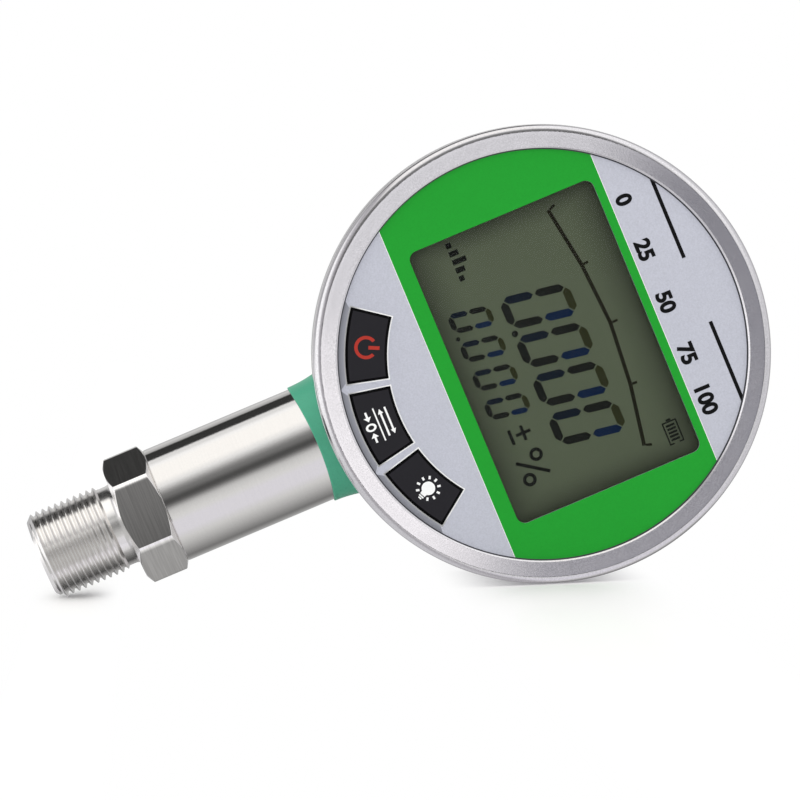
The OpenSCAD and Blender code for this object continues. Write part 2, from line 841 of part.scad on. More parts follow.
module rear_cover() {
    front = case_depth - cover_t;
    bevel = slack;
    color("lightgray") at_dial() difference() {
        rotate_extrude() polygon([
            [0, -front], [cover_r, -front], [cover_r, bevel - case_depth],
            [cover_r - bevel, -case_depth], [0, -case_depth]
        ]);
        cover_places() disc(cover_screw_d / 2 + 2 * fit, front - over, cover_t + 2 * over);
        cover_places() translate([0, 0, -case_depth - fit])
            cylinder(h = head_h + fit, r1 = cover_head_d / 2 + fit, r2 = cover_screw_d / 2);
    }
}

module cover_screws() {
    slot_w = cover_screw_d / 5;
    color("silver") at_dial() cover_places() difference() {
        union() {
            disc(cover_screw_d / 2, case_depth - cover_screw_l, cover_screw_l - head_h);
            translate([0, 0, -case_depth])
                cylinder(h = head_h, r1 = cover_head_d / 2, r2 = cover_screw_d / 2);
        }
        box(cover_head_d * drive_share, slot_w, case_depth - head_h / 2, head_h);
        box(slot_w, cover_head_d * drive_share, case_depth - head_h / 2, head_h);
    }
}

process_connection();
stem_tube();
sensor_capsule();
sensor_pins();
sensor_seal_ring();
sensor_lock_ring();
sensor_board();
sensor_lead();
lead_grommet();
stem_boot();
saddle_washer();
stem_nut();
case_shell();
bezel_ring();
panel_gasket();
front_panel();
face_overlay();
display_window();
display_glass();
light_guide();
display_holder();
contact_strips();
power_key();
unit_key();
light_key();
power_plunger();
unit_plunger();
light_plunger();
key_switches();
main_board();
board_screws();
controller_chip();
lead_socket();
board_capacitors();
battery_box();
battery_cell_1();
battery_cell_2();
battery_cell_3();
battery_springs();
battery_tabs();
battery_wires();
cover_inserts();
cover_gasket();
rear_cover();
cover_screws();
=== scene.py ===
"""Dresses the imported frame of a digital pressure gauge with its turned, printed and moulded surfaces."""

import json
import math

import bmesh
import bpy
from mathutils import Matrix, Quaternion, Vector


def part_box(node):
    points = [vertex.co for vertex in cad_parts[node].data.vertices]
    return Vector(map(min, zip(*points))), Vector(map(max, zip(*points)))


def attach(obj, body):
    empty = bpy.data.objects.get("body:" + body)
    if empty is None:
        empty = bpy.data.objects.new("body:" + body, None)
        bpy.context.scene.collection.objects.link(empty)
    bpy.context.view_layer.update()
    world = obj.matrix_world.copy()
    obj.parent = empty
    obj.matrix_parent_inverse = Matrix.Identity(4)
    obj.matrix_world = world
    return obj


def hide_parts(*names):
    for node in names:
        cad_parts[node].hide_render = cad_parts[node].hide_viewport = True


bl_info = {
    "name": "Digital pressure gauge",
    "version": (1, 0, 0),
    "blender": (4, 5, 0),
    "location": "View3D > Sidebar > Gauge",
    "description": "Dresses the gauge's frame with its steel, dial, display and keys",
    "category": "Object",
}

MM = 0.001
BODY = "gauge_body"
STEM_COLUMNS = 160
DIAL_COLUMNS = 256
INKS = ("ink_dark", "ink_navy", "ink_blue", "ink_olive", "ink_brown")

# How much brighter gloss sees the room than matt surfaces do
ROOM_GAIN = 1.3

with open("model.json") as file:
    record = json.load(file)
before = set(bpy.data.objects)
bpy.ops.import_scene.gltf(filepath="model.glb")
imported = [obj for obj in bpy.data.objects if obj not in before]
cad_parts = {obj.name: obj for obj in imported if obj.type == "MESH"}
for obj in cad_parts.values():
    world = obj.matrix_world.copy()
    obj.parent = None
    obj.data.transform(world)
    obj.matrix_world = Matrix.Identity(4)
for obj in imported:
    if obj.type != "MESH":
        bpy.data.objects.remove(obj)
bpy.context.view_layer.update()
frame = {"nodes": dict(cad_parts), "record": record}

# The dial's own place: its middle from the bezel, its depth from the printed overlay
bezel_low, bezel_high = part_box("bezel_ring")
DIAL_X = (bezel_low.x + bezel_high.x) / 2
DIAL_Z = (bezel_low.z + bezel_high.z) / 2
DIAL_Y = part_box("face_overlay")[0].y


def length(name, text, millimetres):
    """A size that a user may change, given in millimetres and kept in metres."""
    return bpy.props.FloatProperty(
        name=name, description=text, default=millimetres * MM, unit="LENGTH", precision=5
    )


def angle(name, text, degrees):
    """An angle that a user may change, given in degrees."""
    return bpy.props.FloatProperty(
        name=name, description=text, default=math.radians(degrees), subtype="ANGLE"
    )


def amount(name, text, value):
    """A plain number that a user may change."""
    return bpy.props.FloatProperty(name=name, description=text, default=value)


def colour(name, text, red, green, blue):
    """A colour that a user may change, given from 0 to 255 as it shows on a screen."""
    return bpy.props.FloatVectorProperty(
        name=name,
        description=text,
        default=[to_linear(part / 255) for part in (red, green, blue)],
        subtype="COLOR",
        min=0,
        max=1,
    )


def to_linear(value):
    """One part of a screen colour as light."""
    if value <= 0.04045:
        return value / 12.92
    return ((value + 0.055) / 1.055) ** 2.4


class StemSizes(bpy.types.PropertyGroup):
    """Sizes of the turned connection, the tube and the boot."""

    thread_radius: length("Thread radius", "Radius over the thread's crests", 10)
    thread_pitch: length("Thread pitch", "Distance from crest to crest", 1.5)
    thread_depth: length("Thread depth", "How deep the thread is cut", 0.85)
    thread_top: length("Thread top", "Height at which the thread runs out", 17.3)
    thread_bevel: length("Foot bevel", "Bevel at the foot of the thread", 1.5)
    runout_radius: length("Runout radius", "Radius of the plain runout", 9.15)
    port_radius: length("Port radius", "Radius of the pressure port", 3)
    hex_foot: length("Hexagon's foot", "Height of the hexagon's foot", 20)
    hex_top: length("Hexagon's top", "Height of the hexagon's top", 29.8)
    hex_flat: length("Hexagon's flat", "Distance from the axis to each flat", 13)
    hex_corner: length("Hexagon's corner", "Radius that the corners are turned to", 14.75)
    hex_bevel: length("Hexagon's bevel", "Height of the bevel at each end", 1)
    hex_round: length("Hexagon's rounding", "Width of the broken edges", 0.08)
    hex_turn: angle("Hexagon's turn", "How far the hexagon is turned about the stem", -5.85)
    tube_radius: length("Tube radius", "Outer radius of the stem tube", 13.2)
    tube_bore: length("Tube bore", "Inner radius of the stem tube", 11.8)
    neck_radius: length("Neck radius", "Outer radius of the tube's neck", 11)
    neck_bore: length("Neck bore", "Inner radius of the tube's neck", 9.6)
    neck_length: length("Neck length", "Length of the neck above the tube's shoulder", 9.99)
    boot_wall: length("Boot wall", "Wall of the boot where it ends on the stem", 0.45)
    boot_flare: length("Boot flare", "How far the boot flares at the case", 0.9)
    boot_height: length("Boot height", "Height of the boot under the case", 5.2)
    boot_saddle: length("Boot saddle", "How much higher the boot's foot is at the front and back", 1.2)


class CaseSizes(bpy.types.PropertyGroup):
    """Sizes of the case and its bezel."""

    case_radius: length("Case radius", "Outer radius of the case", 48.4)
    bezel_radius: length("Bezel radius", "Outer radius of the bezel", 50)
    opening: length("Opening", "Radius of the bezel's opening", 44.75)
    rise: length("Rise", "How far the bezel stands proud of the dial", 1)
    face_fall: length("Fall of the face", "How far the bezel's face slopes outwards", 0.16)
    front_round: length("Front rounding", "Radius of the bezel's front edge", 1.8)
    rear_depth: length("Rear depth", "Depth of the bezel's rear edge", 10)
    groove_depth: length("Groove depth", "Depth of the groove round the side", 2)
    groove_width: length("Groove width", "Width of the groove", 1.3)
    groove_cut: length("Groove cut", "How deep the groove is cut", 0.35)
    wall: length("Wall", "Wall of the bezel's side", 1.2)
    inner_bevel: length("Inner bevel", "Width of the bevel round the opening", 0.36)


class DialSizes(bpy.types.PropertyGroup):
    """Places and sizes of the print on the dial."""

    sheet_radius: length("Sheet radius", "Radius of the overlay", 46.8)
    sheet_thickness: length("Sheet thickness", "Thickness of the overlay", 0.5)
    print_radius: length("Print radius", "Radius of the print", 46)
    print_thickness: length("Print thickness", "How far the print stands proud", 0.03)
    # Outer edge of the painted shade on the strips by the keys
    shade_radius: length("Shade radius", "Outer radius of the shaded strips by the keys", 45.2)
    band_low: length("Band's foot", "Height of the band's lower edge", -22.6)
    band_high: length("Band's top", "Height of the band's upper edge", 26.1)
    border: length("Border", "Width of the band's white borders", 0.12)
    rule_height: length("Rule height", "Height of the two black rules", 36.4)
    rule_width: length("Rule width", "Thickness of the two black rules", 0.82)
    rule_inner: length("Rule gap", "Half the gap between the two rules", 7.5)
    number_height: length("Number height", "Height of the middle of the numbers", 28.9)
    number_size: length("Number size", "Size of the numbers", 4.7)
    window_width: length("Window width", "Width of the display window", 63.8)
    window_height: length("Window height", "Height of the display window", 43.2)
    window_x: length("Window shift", "How far the window lies to the right", 0.5)
    window_up: length("Window rise", "How far the window lies above the middle", 2.6)
    window_corner: length("Window corner", "Radius of the window's corners", 2)


class KeySizes(bpy.types.PropertyGroup):
    """Sizes of the three push keys and their marks."""

    inner: length("Inner radius", "Radius of the keys' inner edge", 34.2)
    outer: length("Outer radius", "Radius of the keys' outer edge", 42.8)
    span: angle("Span", "Angle that each key spans", 21.8)
    pitch: angle("Pitch", "Angle between neighbouring keys", 25.4)
    proud: length("Rise", "How far the keys stand proud of the dial", 0.5)
    bevel: length("Bevel", "Width of the bevel round each key", 0.35)
    gap: length("Gap", "Gap between a key and the dial", 0.25)
    border: length("Border", "Width of the white border round each key", 0.26)
    lip: length("Lip", "How far the key's flange reaches past it", 0.7)
    lip_depth: length("Lip depth", "Depth of the front of the flange", 2.55)
    lip_thickness: length("Lip thickness", "Thickness of the flange", 0.8)
    stub_radius: length("Stub radius", "Radius of the stub behind the key", 1.7)
    stub_end: length("Stub end", "Depth of the end of the stub", 4.025)
    mark_radius: length("Mark radius", "Radius on which the marks stand", 38.75)


class DisplaySizes(bpy.types.PropertyGroup):
    """Places and sizes of the figures on the display."""

    glass_depth: length("Glass depth", "Depth of the front of the glass", 2.55)
    ink_thickness: length("Ink thickness", "How far the figures stand proud", 0.03)
    slant: amount("Slant", "How far the figures lean for each unit of height", 0.16)
    stroke_gap: amount("Stroke gap", "Gap from a stroke's tip to its corner, in widths of a stroke", 0.11)
    big_x: length("Large figures", "Place of the first large figure", -14.89)
    big_z: length("Large figures' foot", "Height of the large figures' foot", -4.4)
    big_pitch: length("Large pitch", "Distance between the large figures", 9.15)
    big_width: length("Large width", "Width of a large figure", 7.5)
    big_height: length("Large height", "Height of a large figure", 15.5)
    big_stroke: length("Large stroke", "Width of the large figures' strokes", 1.78)
    small_x: length("Small figures", "Place of the first small figure", -15.97)
    small_z: length("Small figures' foot", "Height of the small figures' foot", -16.1)
    small_pitch: length("Small pitch", "Distance between the small figures", 6.8)
    small_width: length("Small width", "Width of a small figure", 4.62)
    small_height: length("Small height", "Height of a small figure", 9.45)
    small_stroke: length("Small stroke", "Width of the small figures' strokes", 1.2)


class FinishColours(bpy.types.PropertyGroup):
    """Colours of the gauge's finishes."""

    steel: colour("Steel", "Turned and polished stainless steel", 226, 224, 222)
    blasted: colour("Blasted steel", "Blasted steel of the bezel", 222, 220, 222)
    boot: colour("Boot", "Teal rubber of the boot", 74, 172, 138)
    sheet: colour("Dial", "Pale ground of the dial", 187, 189, 201)
    band: colour("Band", "Green band of the dial", 30, 154, 46)
    white: colour("White print", "White lines of the dial", 244, 245, 246)
    black: colour("Black print", "Black rules and numbers", 12, 12, 14)
    key: colour("Keys", "Black plastic of the keys", 34, 33, 38)
    power: colour("Power mark", "Red mark on the first key", 172, 42, 28)
    glass: colour("Display", "Ground of the display", 96, 104, 84)
    ink_dark: colour("Dark figures", "Near-black strokes of the figures", 20, 22, 20)
    ink_navy: colour("Navy figures", "Navy strokes of the figures", 7, 20, 37)
    ink_blue: colour("Blue figures", "Blue strokes of the figures", 0, 28, 64)
    ink_olive: colour("Olive figures", "Olive strokes of the figures", 46, 48, 24)
    ink_brown: colour("Scale", "Line of the bar scale", 30, 28, 16)
    board: colour("Boards", "Green lacquer of the boards", 24, 84, 52)
    brass: colour("Brass", "Brass and gilt parts", 214, 176, 96)
    rubber: colour("Rubber", "Black rubber of the seals", 30, 30, 32)
    moulding: colour("Mouldings", "Dark plastic of the panel and the box", 56, 58, 62)
    ivory: colour("Pale plastic", "Pale plastic of the holder and the socket", 226, 222, 210)
    cell: colour("Cells", "Jackets of the battery cells", 52, 84, 132)
    floor: colour("Floor", "Pale floor under the gauge", 255, 255, 255)


class StageSettings(bpy.types.PropertyGroup):
    """The camera, the floor and the studio round the gauge."""

    camera_place: bpy.props.FloatVectorProperty(
        name="Camera place",
        description="Where the camera stands",
        default=(-0.05949, -0.89934, 0.04986),
        subtype="TRANSLATION",
    )
    camera_aim: bpy.props.FloatVectorProperty(
        name="Camera aim",
        description="The point that the camera looks at",
        default=(-0.003, -0.025, 0.08589),
        subtype="TRANSLATION",
    )
    camera_roll: angle("Camera roll", "How far the camera is rolled", 67.13)
    camera_lens: amount("Lens", "Focal length for a sensor 36 mm wide", 182.18)
    floor_tilt: angle("Floor tilt", "Angle between the stem and the floor", 20.33)
    floor_gap: length("Floor distance", "Distance from the port to the floor", 8.86)
    floor_size: length("Floor size", "Half the width of the floor", 1500)


class Sum:
    """A socket that can be used in sums, where each operator adds a Math node."""

    def __init__(self, recipe, socket):
        self.recipe = recipe
        self.socket = socket

    def __add__(self, other):
        return self.recipe.math("ADD", self, other)

    def __radd__(self, other):
        return self.recipe.math("ADD", other, self)

    def __sub__(self, other):
        return self.recipe.math("SUBTRACT", self, other)

    def __rsub__(self, other):
        return self.recipe.math("SUBTRACT", other, self)

    def __mul__(self, other):
        return self.recipe.math("MULTIPLY", self, other)

    def __rmul__(self, other):
        return self.recipe.math("MULTIPLY", other, self)

    def __truediv__(self, other):
        return self.recipe.math("DIVIDE", self, other)

    def __rtruediv__(self, other):
        return self.recipe.math("DIVIDE", other, self)


class Recipe:
    """A node tree that is being written."""

    def __init__(self, tree):
        self.tree = tree
        tree.nodes.clear()

    def node(self, kind, settings=None, inputs=None, output=0):
        """Adds a node: its settings first, then the values or links of its sockets."""
        made = self.tree.nodes.new(kind)
        for key, value in (settings or {}).items():
            if key == "stops":
                self.set_stops(made.color_ramp, value)
            else:
                setattr(made, key, value)
        for key, value in (inputs or {}).items():
            if isinstance(value, Sum):
                self.tree.links.new(value.socket, made.inputs[key])
            else:
                made.inputs[key].default_value = value
        return Sum(self, made.outputs[output]) if made.outputs else None

    @staticmethod
    def set_stops(ramp, stops):
        """Gives a ramp its stops, each a place and a grey or a colour."""
        while len(ramp.elements) < len(stops):
            ramp.elements.new(1)
        for element, (place, value) in zip(ramp.elements, stops):
            tone = value if isinstance(value, tuple) else (value, value, value)
            element.position = place
            element.color = (*tone, 1)

    def math(self, operation, *values):
        return self.node("ShaderNodeMath", {"operation": operation}, dict(enumerate(values)))

    def step(self, value, low, high):
        """Rises smoothly from 0 at low to 1 at high."""
        settings = {"interpolation_type": "SMOOTHSTEP"}
        return self.node(
            "ShaderNodeMapRange", settings, {"Value": value, "From Min": low, "From Max": high}
        )

    def mix(self, factor, first, second):
        """A colour between two colours."""
        settings = {"data_type": "RGBA"}
        inputs = {0: factor, 6: self.full(first), 7: self.full(second)}
        return self.node("ShaderNodeMix", settings, inputs, output=2)

    def tone(self, factor, tint, low, high):
        """A tint that varies between two shares of itself."""
        return self.mix(factor, shade(tint, low), shade(tint, high))

    @staticmethod
    def full(value):
        """A colour with its alpha, or a link as it is."""
        return value if isinstance(value, Sum) else (*value, 1)

    def ramp(self, value, stops):
        return self.node("ShaderNodeValToRGB", {"stops": stops}, {0: value})

    def parts(self, vector):
        """The three parts of a vector."""
        split = self.node("ShaderNodeSeparateXYZ", {}, {0: vector})
        return [Sum(self, socket) for socket in split.socket.node.outputs]

    def seen_by(self, kind):
        """1 for rays of that kind, such as Camera or Glossy."""
        path = self.node("ShaderNodeLightPath")
        return Sum(self, path.socket.node.outputs["Is %s Ray" % kind])

    def place(self):
        """The place of a point in its object's own frame, in metres."""
        return self.node("ShaderNodeTexCoord", output=3)

    def noise(self, scale, detail=2.0, stretch=(1, 1, 1)):
        """Soft noise with so many waves a metre, stretched along the axes."""
        stretched = self.node(
            "ShaderNodeMapping", {}, {"Vector": self.place(), "Scale": stretch}
        )
        inputs = {"Vector": stretched, "Scale": scale, "Detail": detail}
        return self.node("ShaderNodeTexNoise", {}, inputs)


class Finish(Recipe):
    """A material with one surface."""

    def __init__(self, name):
        self.material = bpy.data.materials.new(name)
        self.material.use_nodes = True
        super().__init__(self.material.node_tree)

    def surface(self, shader):
        """Makes a shader the material's surface, and hands the material back."""
        self.node("ShaderNodeOutputMaterial", {}, {"Surface": shader})
        return self.material

    def blend(self, factor, first, second):
        """A shader between two shaders."""
        return self.node("ShaderNodeMixShader", {}, {0: factor, 1: first, 2: second})

    def coat(self, colour, roughness, relief, depth, **fixed):
        """Gives the material its surface. Relief is a height from 0 to 1 and depth its height in metres."""
        bump = self.node("ShaderNodeBump", {}, {"Strength": 1.0, "Distance": depth, "Height": relief})
        inputs = {"Base Color": self.full(colour), "Roughness": roughness, "Normal": bump}
        for key, value in fixed.items():
            inputs[key.replace("_", " ")] = value
        return self.surface(self.node("ShaderNodeBsdfPrincipled", {}, inputs))


def shade(colour_value, factor):
    """A colour made lighter or darker."""
    return tuple(part * factor for part in colour_value)


def turned_steel(name, tint, roughness, lines=(150, 150, 7000), depth=5e-6):
    """Steel with the fine lines that turning leaves round the stem, and a fine grain."""
    finish = Finish(name)
    fine = finish.noise(1.0, 3.0, lines)
    grain = finish.noise(3400.0, 2.0)
    worn = finish.noise(160.0, 2.0)
    relief = fine * 0.3 + grain * 0.7
    tone = finish.tone(fine * 0.5 + grain * 0.5, tint, 0.9, 1.0333)
    return finish.coat(tone, roughness + worn * 0.03 + fine * 0.03, relief, depth, Metallic=1.0)


def brushed_steel(name, tint):
    """Steel of the hexagon's flats, with the marks of milling along them."""
    finish = Finish(name)
    marks = finish.noise(1.0, 4.0, (70, 70, 2700))
    fine = finish.noise(1.0, 2.0, (400, 400, 12000))
    tone = finish.tone(finish.step(marks, 0.3, 0.7), tint, 1.08, 1.3)
    return finish.coat(tone, 0.05 + fine * 0.04, fine, 2e-7, Metallic=1.0)


def blasted_steel(name, tint, roughness, depth=5e-6):
    """Steel with the even, fine grain of blasting."""
    finish = Finish(name)
    grain = finish.noise(3600.0, 2.0)
    cloud = finish.noise(260.0, 3.0)
    tone = finish.tone(finish.step(grain, 0.25, 0.75), tint, 0.86, 1.02)
    return finish.coat(tone, roughness + cloud * 0.04 + grain * 0.03, grain, depth, Metallic=1.0)


def soft_rubber(name, tint, roughness=0.5):
    """Matt rubber with a little bloom."""
    finish = Finish(name)
    bloom = finish.noise(180.0, 4.0)
    grain = finish.noise(2400.0, 3.0)
    tone = finish.tone(bloom * 0.5 + grain * 0.5, tint, 0.84, 1.12)
    return finish.coat(tone, roughness + bloom * 0.12, grain, 3e-5, Specular_IOR_Level=0.4)


def moulded_plastic(name, tint, roughness=0.42, gloss=0.45):
    """Plastic with the fine spark texture of its mould."""
    finish = Finish(name)
    spark = finish.noise(3600.0, 2.0)
    cloud = finish.noise(140.0, 3.0)
    tone = finish.tone(cloud, tint, 0.9, 1.08)
    return finish.coat(tone, roughness + spark * 0.12, spark, 8e-6, Specular_IOR_Level=gloss)


def print_ink(name, tint, speckle, roughness=0.45, gloss=0.3):
    """Ink on the dial, with the fine speckle of its metallic ground."""
    finish = Finish(name)
    fleck = finish.noise(3300.0, 2.0)
    cloud = finish.noise(60.0, 3.0)
    tone = finish.tone(fleck * 0.8 + cloud * 0.2, tint, 1 - speckle, 1 + speckle)
    return finish.coat(tone, roughness + fleck * 0.1, fleck, 2e-6, Specular_IOR_Level=gloss)


def edged_print(name, tint, share, inner, outer):
    """Ink with a painted shade: it darkens to a share of its colour between two radii of the dial, towards
    the bezel.
    """
    finish = Finish(name)
    across, _, up = finish.parts(finish.place())
    across = across - DIAL_X
    up = up - DIAL_Z
    radius = finish.math("SQRT", across * across + up * up)
    fleck = finish.noise(3300.0, 2.0)
    # Painted shade: darker from the inner radius out to the outer one
    tone = finish.tone(finish.step(radius, inner, outer) * 0.9 + fleck * 0.1, tint, 1, share)
    return finish.coat(tone, 0.5 + fleck * 0.1, fleck, 2e-6, Specular_IOR_Level=0.15)


def display_ground(name, tint, dial):
    """The reflecting ground behind the display's figures, darker along the window's edges as a painted shade
    of the recess round the window.
    """
    finish = Finish(name)
    fleck = finish.noise(3300.0, 2.0)
    cloud = finish.noise(36.0, 2.0)
    across, _, up = finish.parts(finish.place())
    across = finish.math("ABSOLUTE", across - (DIAL_X + dial.window_x))
    up = finish.math("ABSOLUTE", up - (DIAL_Z + dial.window_up))
    # Painted shade: the ground darkens along the window's edges, where the recess round the window shades it
    sides = finish.step(across, dial.window_width / 2 - 6 * MM, dial.window_width / 2)
    ends = finish.step(up, dial.window_height / 2 - 9 * MM, dial.window_height / 2 + 1 * MM)
    dark = finish.math("MAXIMUM", sides, ends)
    tone = finish.tone(cloud * 0.5 + fleck * 0.5, tint, 0.9, 1.08)
    tone = finish.mix(dark * 0.5, tone, shade(tint, 0.25))
    return finish.coat(tone, 0.5 + fleck * 0.1, fleck, 2e-6, Specular_IOR_Level=0.2)


def clear_window(name):
    """A clear pane that only glints."""
    finish = Finish(name)
    smear = finish.noise(90.0, 2.0)
    see_through = finish.node("ShaderNodeBsdfTransparent", {}, {"Color": (0.94, 0.95, 0.94, 1)})
    inputs = {"Base Color": (0.02, 0.02, 0.02, 1), "Roughness": 0.06 + smear * 0.05}
    gloss = finish.node("ShaderNodeBsdfPrincipled", {}, inputs)
    return finish.surface(finish.blend(0.06, see_through, gloss))


def lacquered_board(name, tint):
    """Green lacquer over copper tracks."""
    finish = Finish(name)
    tracks = finish.noise(1.0, 0.0, (900, 60, 260))
    track = finish.step(tracks, 0.5, 0.54)
    grain = finish.noise(2600.0, 2.0)
    tone = finish.tone(track, tint, 0.75, 1.3)
    return finish.coat(tone, 0.3 + grain * 0.15, track, 2e-5, Specular_IOR_Level=0.5)


def plated_metal(name, tint, roughness=0.26):
    """Brass or gilt with a faint drawn grain."""
    finish = Finish(name)
    drawn = finish.noise(1.0, 3.0, (5200, 700, 5200))
    tone = finish.tone(drawn, tint, 0.86, 1.02)
    return finish.coat(tone, roughness + drawn * 0.1, drawn, 3e-6, Metallic=1.0)


def shrunk_sleeve(name, tint):
    """The shrunk sleeve of a battery cell or a capacitor."""
    finish = Finish(name)
    wrap = finish.noise(500.0, 3.0)
    tone = finish.tone(wrap, tint, 0.85, 1.15)
    return finish.coat(tone, 0.25 + wrap * 0.1, wrap, 1e-5, Specular_IOR_Level=0.5)


def make_finishes(colours, dial):
    """Every finish of the gauge, by the name of the record's material slot or of the finish."""
    # Each row: name, kind, colour, share of that colour, and what else the kind takes
    rows = (
        ("turned_steel", turned_steel, "steel", 1.17, 0.2),
        ("hex_steel", brushed_steel, "steel", 1),
        ("tube_steel", turned_steel, "steel", 1, 0.04, (120, 120, 6000), 9e-6),
        ("case_steel", blasted_steel, "blasted", 1, 0.3),
        ("bezel_steel", blasted_steel, "blasted", 1, 0.1, 3e-6),
        ("cover_steel", blasted_steel, "blasted", 0.8, 0.4),
        ("sensor_steel", turned_steel, "steel", 1, 0.2),
        ("switch_steel", blasted_steel, "blasted", 1, 0.3),
        ("screw_steel", turned_steel, "steel", 1.15, 0.16),
        ("contact_steel", plated_metal, "steel", 1, 0.3),
        ("boot_rubber", soft_rubber, "boot", 1, 0.34),
        ("seal_rubber", soft_rubber, "rubber", 1),
        ("strip_rubber", soft_rubber, "rubber", 2.2),
        ("lead_jacket", soft_rubber, "rubber", 3.0),
        ("wire_jacket", soft_rubber, "power", 0.8),
        ("dial_print", print_ink, "sheet", 1, 0.2, 0.5, 0.2),
        # Painted shade on the strips by the keys, darkening towards the bezel
        ("shade_print", edged_print, "sheet", 0.6, 0.7, 43.2 * MM, 44.7 * MM),
        # The keys' white borders: white print, greyed towards the bezel by a painted shade
        ("border_print", edged_print, "white", 1, 0.4, 40 * MM, 42.9 * MM),
        # A dark grey that paints the bezel's shadow on the dial
        ("seam_print", print_ink, "sheet", 0.12, 0.1, 0.5, 0.1),
        ("band_print", print_ink, "band", 1, 0.12, 0.5, 0.12),
        ("white_print", print_ink, "white", 1, 0.03),
        ("black_print", print_ink, "black", 1, 0.02, 0.5, 0.1),
        ("power_print", print_ink, "power", 1, 0.03),
        ("panel_plastic", moulded_plastic, "moulding", 1),
        ("washer_plastic", moulded_plastic, "moulding", 1.4),
        ("box_plastic", moulded_plastic, "moulding", 0.7),
        ("key_plastic", moulded_plastic, "key", 1, 0.36, 0.15),
        # The keys' edge finish: their plastic made near-black, a painted shade along each key's sides and
        # bevel
        ("key_edge", moulded_plastic, "key", 0.12, 0.5, 0.05),
        ("plunger_plastic", moulded_plastic, "ivory", 1),
        ("holder_plastic", moulded_plastic, "ivory", 1),
        ("guide_plastic", moulded_plastic, "white", 1, 0.25),
        ("chip_resin", moulded_plastic, "rubber", 1, 0.5),
        ("display_glass", display_ground, "glass", 1, dial),
        ("board_green", lacquered_board, "board", 1),
        ("capacitor_sleeve", shrunk_sleeve, "cell", 0.4),
        ("cell_jacket", shrunk_sleeve, "cell", 1),
        ("gilt_pins", plated_metal, "brass", 1),
        ("insert_brass", plated_metal, "brass", 1, 0.34),
    )
    inks = [(ink, print_ink, ink, 1, 0.05, 0.5, 0.08) for ink in INKS]
    made = {"clear_window": clear_window("clear_window")}
    for name, kind, tint, share, *rest in (*rows, *inks):
        made[name] = kind(name, shade(getattr(colours, tint), share), *rest)
    return made


FINISHES = {}


def finish_named(name):
    """The finish of that name, made with the others when the first is asked for."""
    if not FINISHES:
        scene = bpy.context.scene
        FINISHES.update(make_finishes(scene.gauge_colours, scene.gauge_dial))
    return FINISHES[name]


class Shell:
    """Points and faces of one closed piece, gathered ring by ring."""

    def __init__(self):
        self.points = []
        self.faces = []
        self.kinds = []

    def ring(self, points):
        start = len(self.points)
        self.points += [Vector(point) for point in points]
        return list(range(start, start + len(points)))

    def face(self, corners, kind=0):
        self.faces.append(tuple(corners))
        self.kinds.append(kind)

    def loft(self, rings, kinds=None, closed=False):
        """Joins rings of equally many points one after another, and the last to the first where closed."""
        made = [self.ring(points) for points in rings]
        pairs = zip(made, made[1:] + made[:1] if closed else made[1:])
        for number, (first, second) in enumerate(pairs):
            for i in range(len(first)):
                after = (i + 1) % len(first)
                corners = (first[i], first[after], second[after], second[i])
                self.face(corners, kinds[number] if kinds else 0)
        return made

    def solid(self, rings, kinds=None):
        """Joins rings one after another and closes both ends."""
        made = self.loft(rings, kinds)
        self.face(made[0])
        self.face(made[-1])

    def mesh(self, name, sharp=32.0):
        """The finished mesh, with edges sharp above an angle in degrees."""
        mesh = bpy.data.meshes.new(name)
        mesh.from_pydata([tuple(point) for point in self.points], [], self.faces)
        for polygon, kind in zip(mesh.polygons, self.kinds):
            polygon.material_index = kind
        mend(mesh, 2e-7, thin_faces=True)
        mesh.shade_smooth()
        mesh.set_sharp_from_angle(angle=math.radians(sharp))
        return mesh


def mend(mesh, reach, thin_faces=False):
    """Merges doubled points, takes out thin faces where asked, and turns the faces outwards."""
    work = bmesh.new()
    work.from_mesh(mesh)
    bmesh.ops.remove_doubles(work, verts=work.verts, dist=reach)
    if thin_faces:
        bmesh.ops.dissolve_degenerate(work, edges=work.edges, dist=reach)
    bmesh.ops.recalc_face_normals(work, faces=work.faces)
    work.to_mesh(mesh)
    work.free()


def link_object(name, data):
    """A new object in the scene."""
    made = bpy.data.objects.new(name, data)
    bpy.context.scene.collection.objects.link(made)
    return made


def add_piece(name, mesh, finishes, body=BODY, replaced=(), even=True):
    """Puts a piece in the scene on its body, with its finishes."""
    piece = link_object(name, mesh)
    # Clearing an empty list would still give every face the first finish
    if mesh.materials:
        mesh.materials.clear()
    for finish in finishes:
        mesh.materials.append(finish_named(finish))
    if even:
        piece.modifiers.new("even_normals", "WEIGHTED_NORMAL").keep_sharp = True
    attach(piece, body)
    if replaced:
        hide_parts(*replaced)


def add_print(name, shapes, ink, front, back, body=BODY, replaced=()):
    """Puts a flat piece on the dial, from closed outlines of (x, z), between two depths."""
    add_piece(name, plate(name, shapes, front, back), [ink], body, replaced, even=False)


def on_dial(x, z, depth):
    """A point of the dial: x to the right, z up and depth back from the overlay's face, in metres."""
    return Vector((DIAL_X + x, DIAL_Y + depth, DIAL_Z + z))


def round_dial(radius, turn, depth):
    """A point round the dial's axis."""
    return on_dial(radius * math.cos(turn), radius * math.sin(turn), depth)


def round_stem(radius, turn, height):
    """A point round the stem's axis."""
    return (radius * math.cos(turn), radius * math.sin(turn), height)


def even_turns(columns):
    return [2 * math.pi * k / columns for k in range(columns)]


def turned(name, profile, place, columns=STEM_COLUMNS, steps=4, sharp=32.0):
    """A closed profile of (radius, height, rounding) turned round the axis that place goes round."""
    turns = even_turns(columns)
    rings = [[place(across, t, along) for t in turns] for across, along in softened(profile, steps)]
    shell = Shell()
    shell.loft(rings, closed=True)
    return shell.mesh(name, sharp)


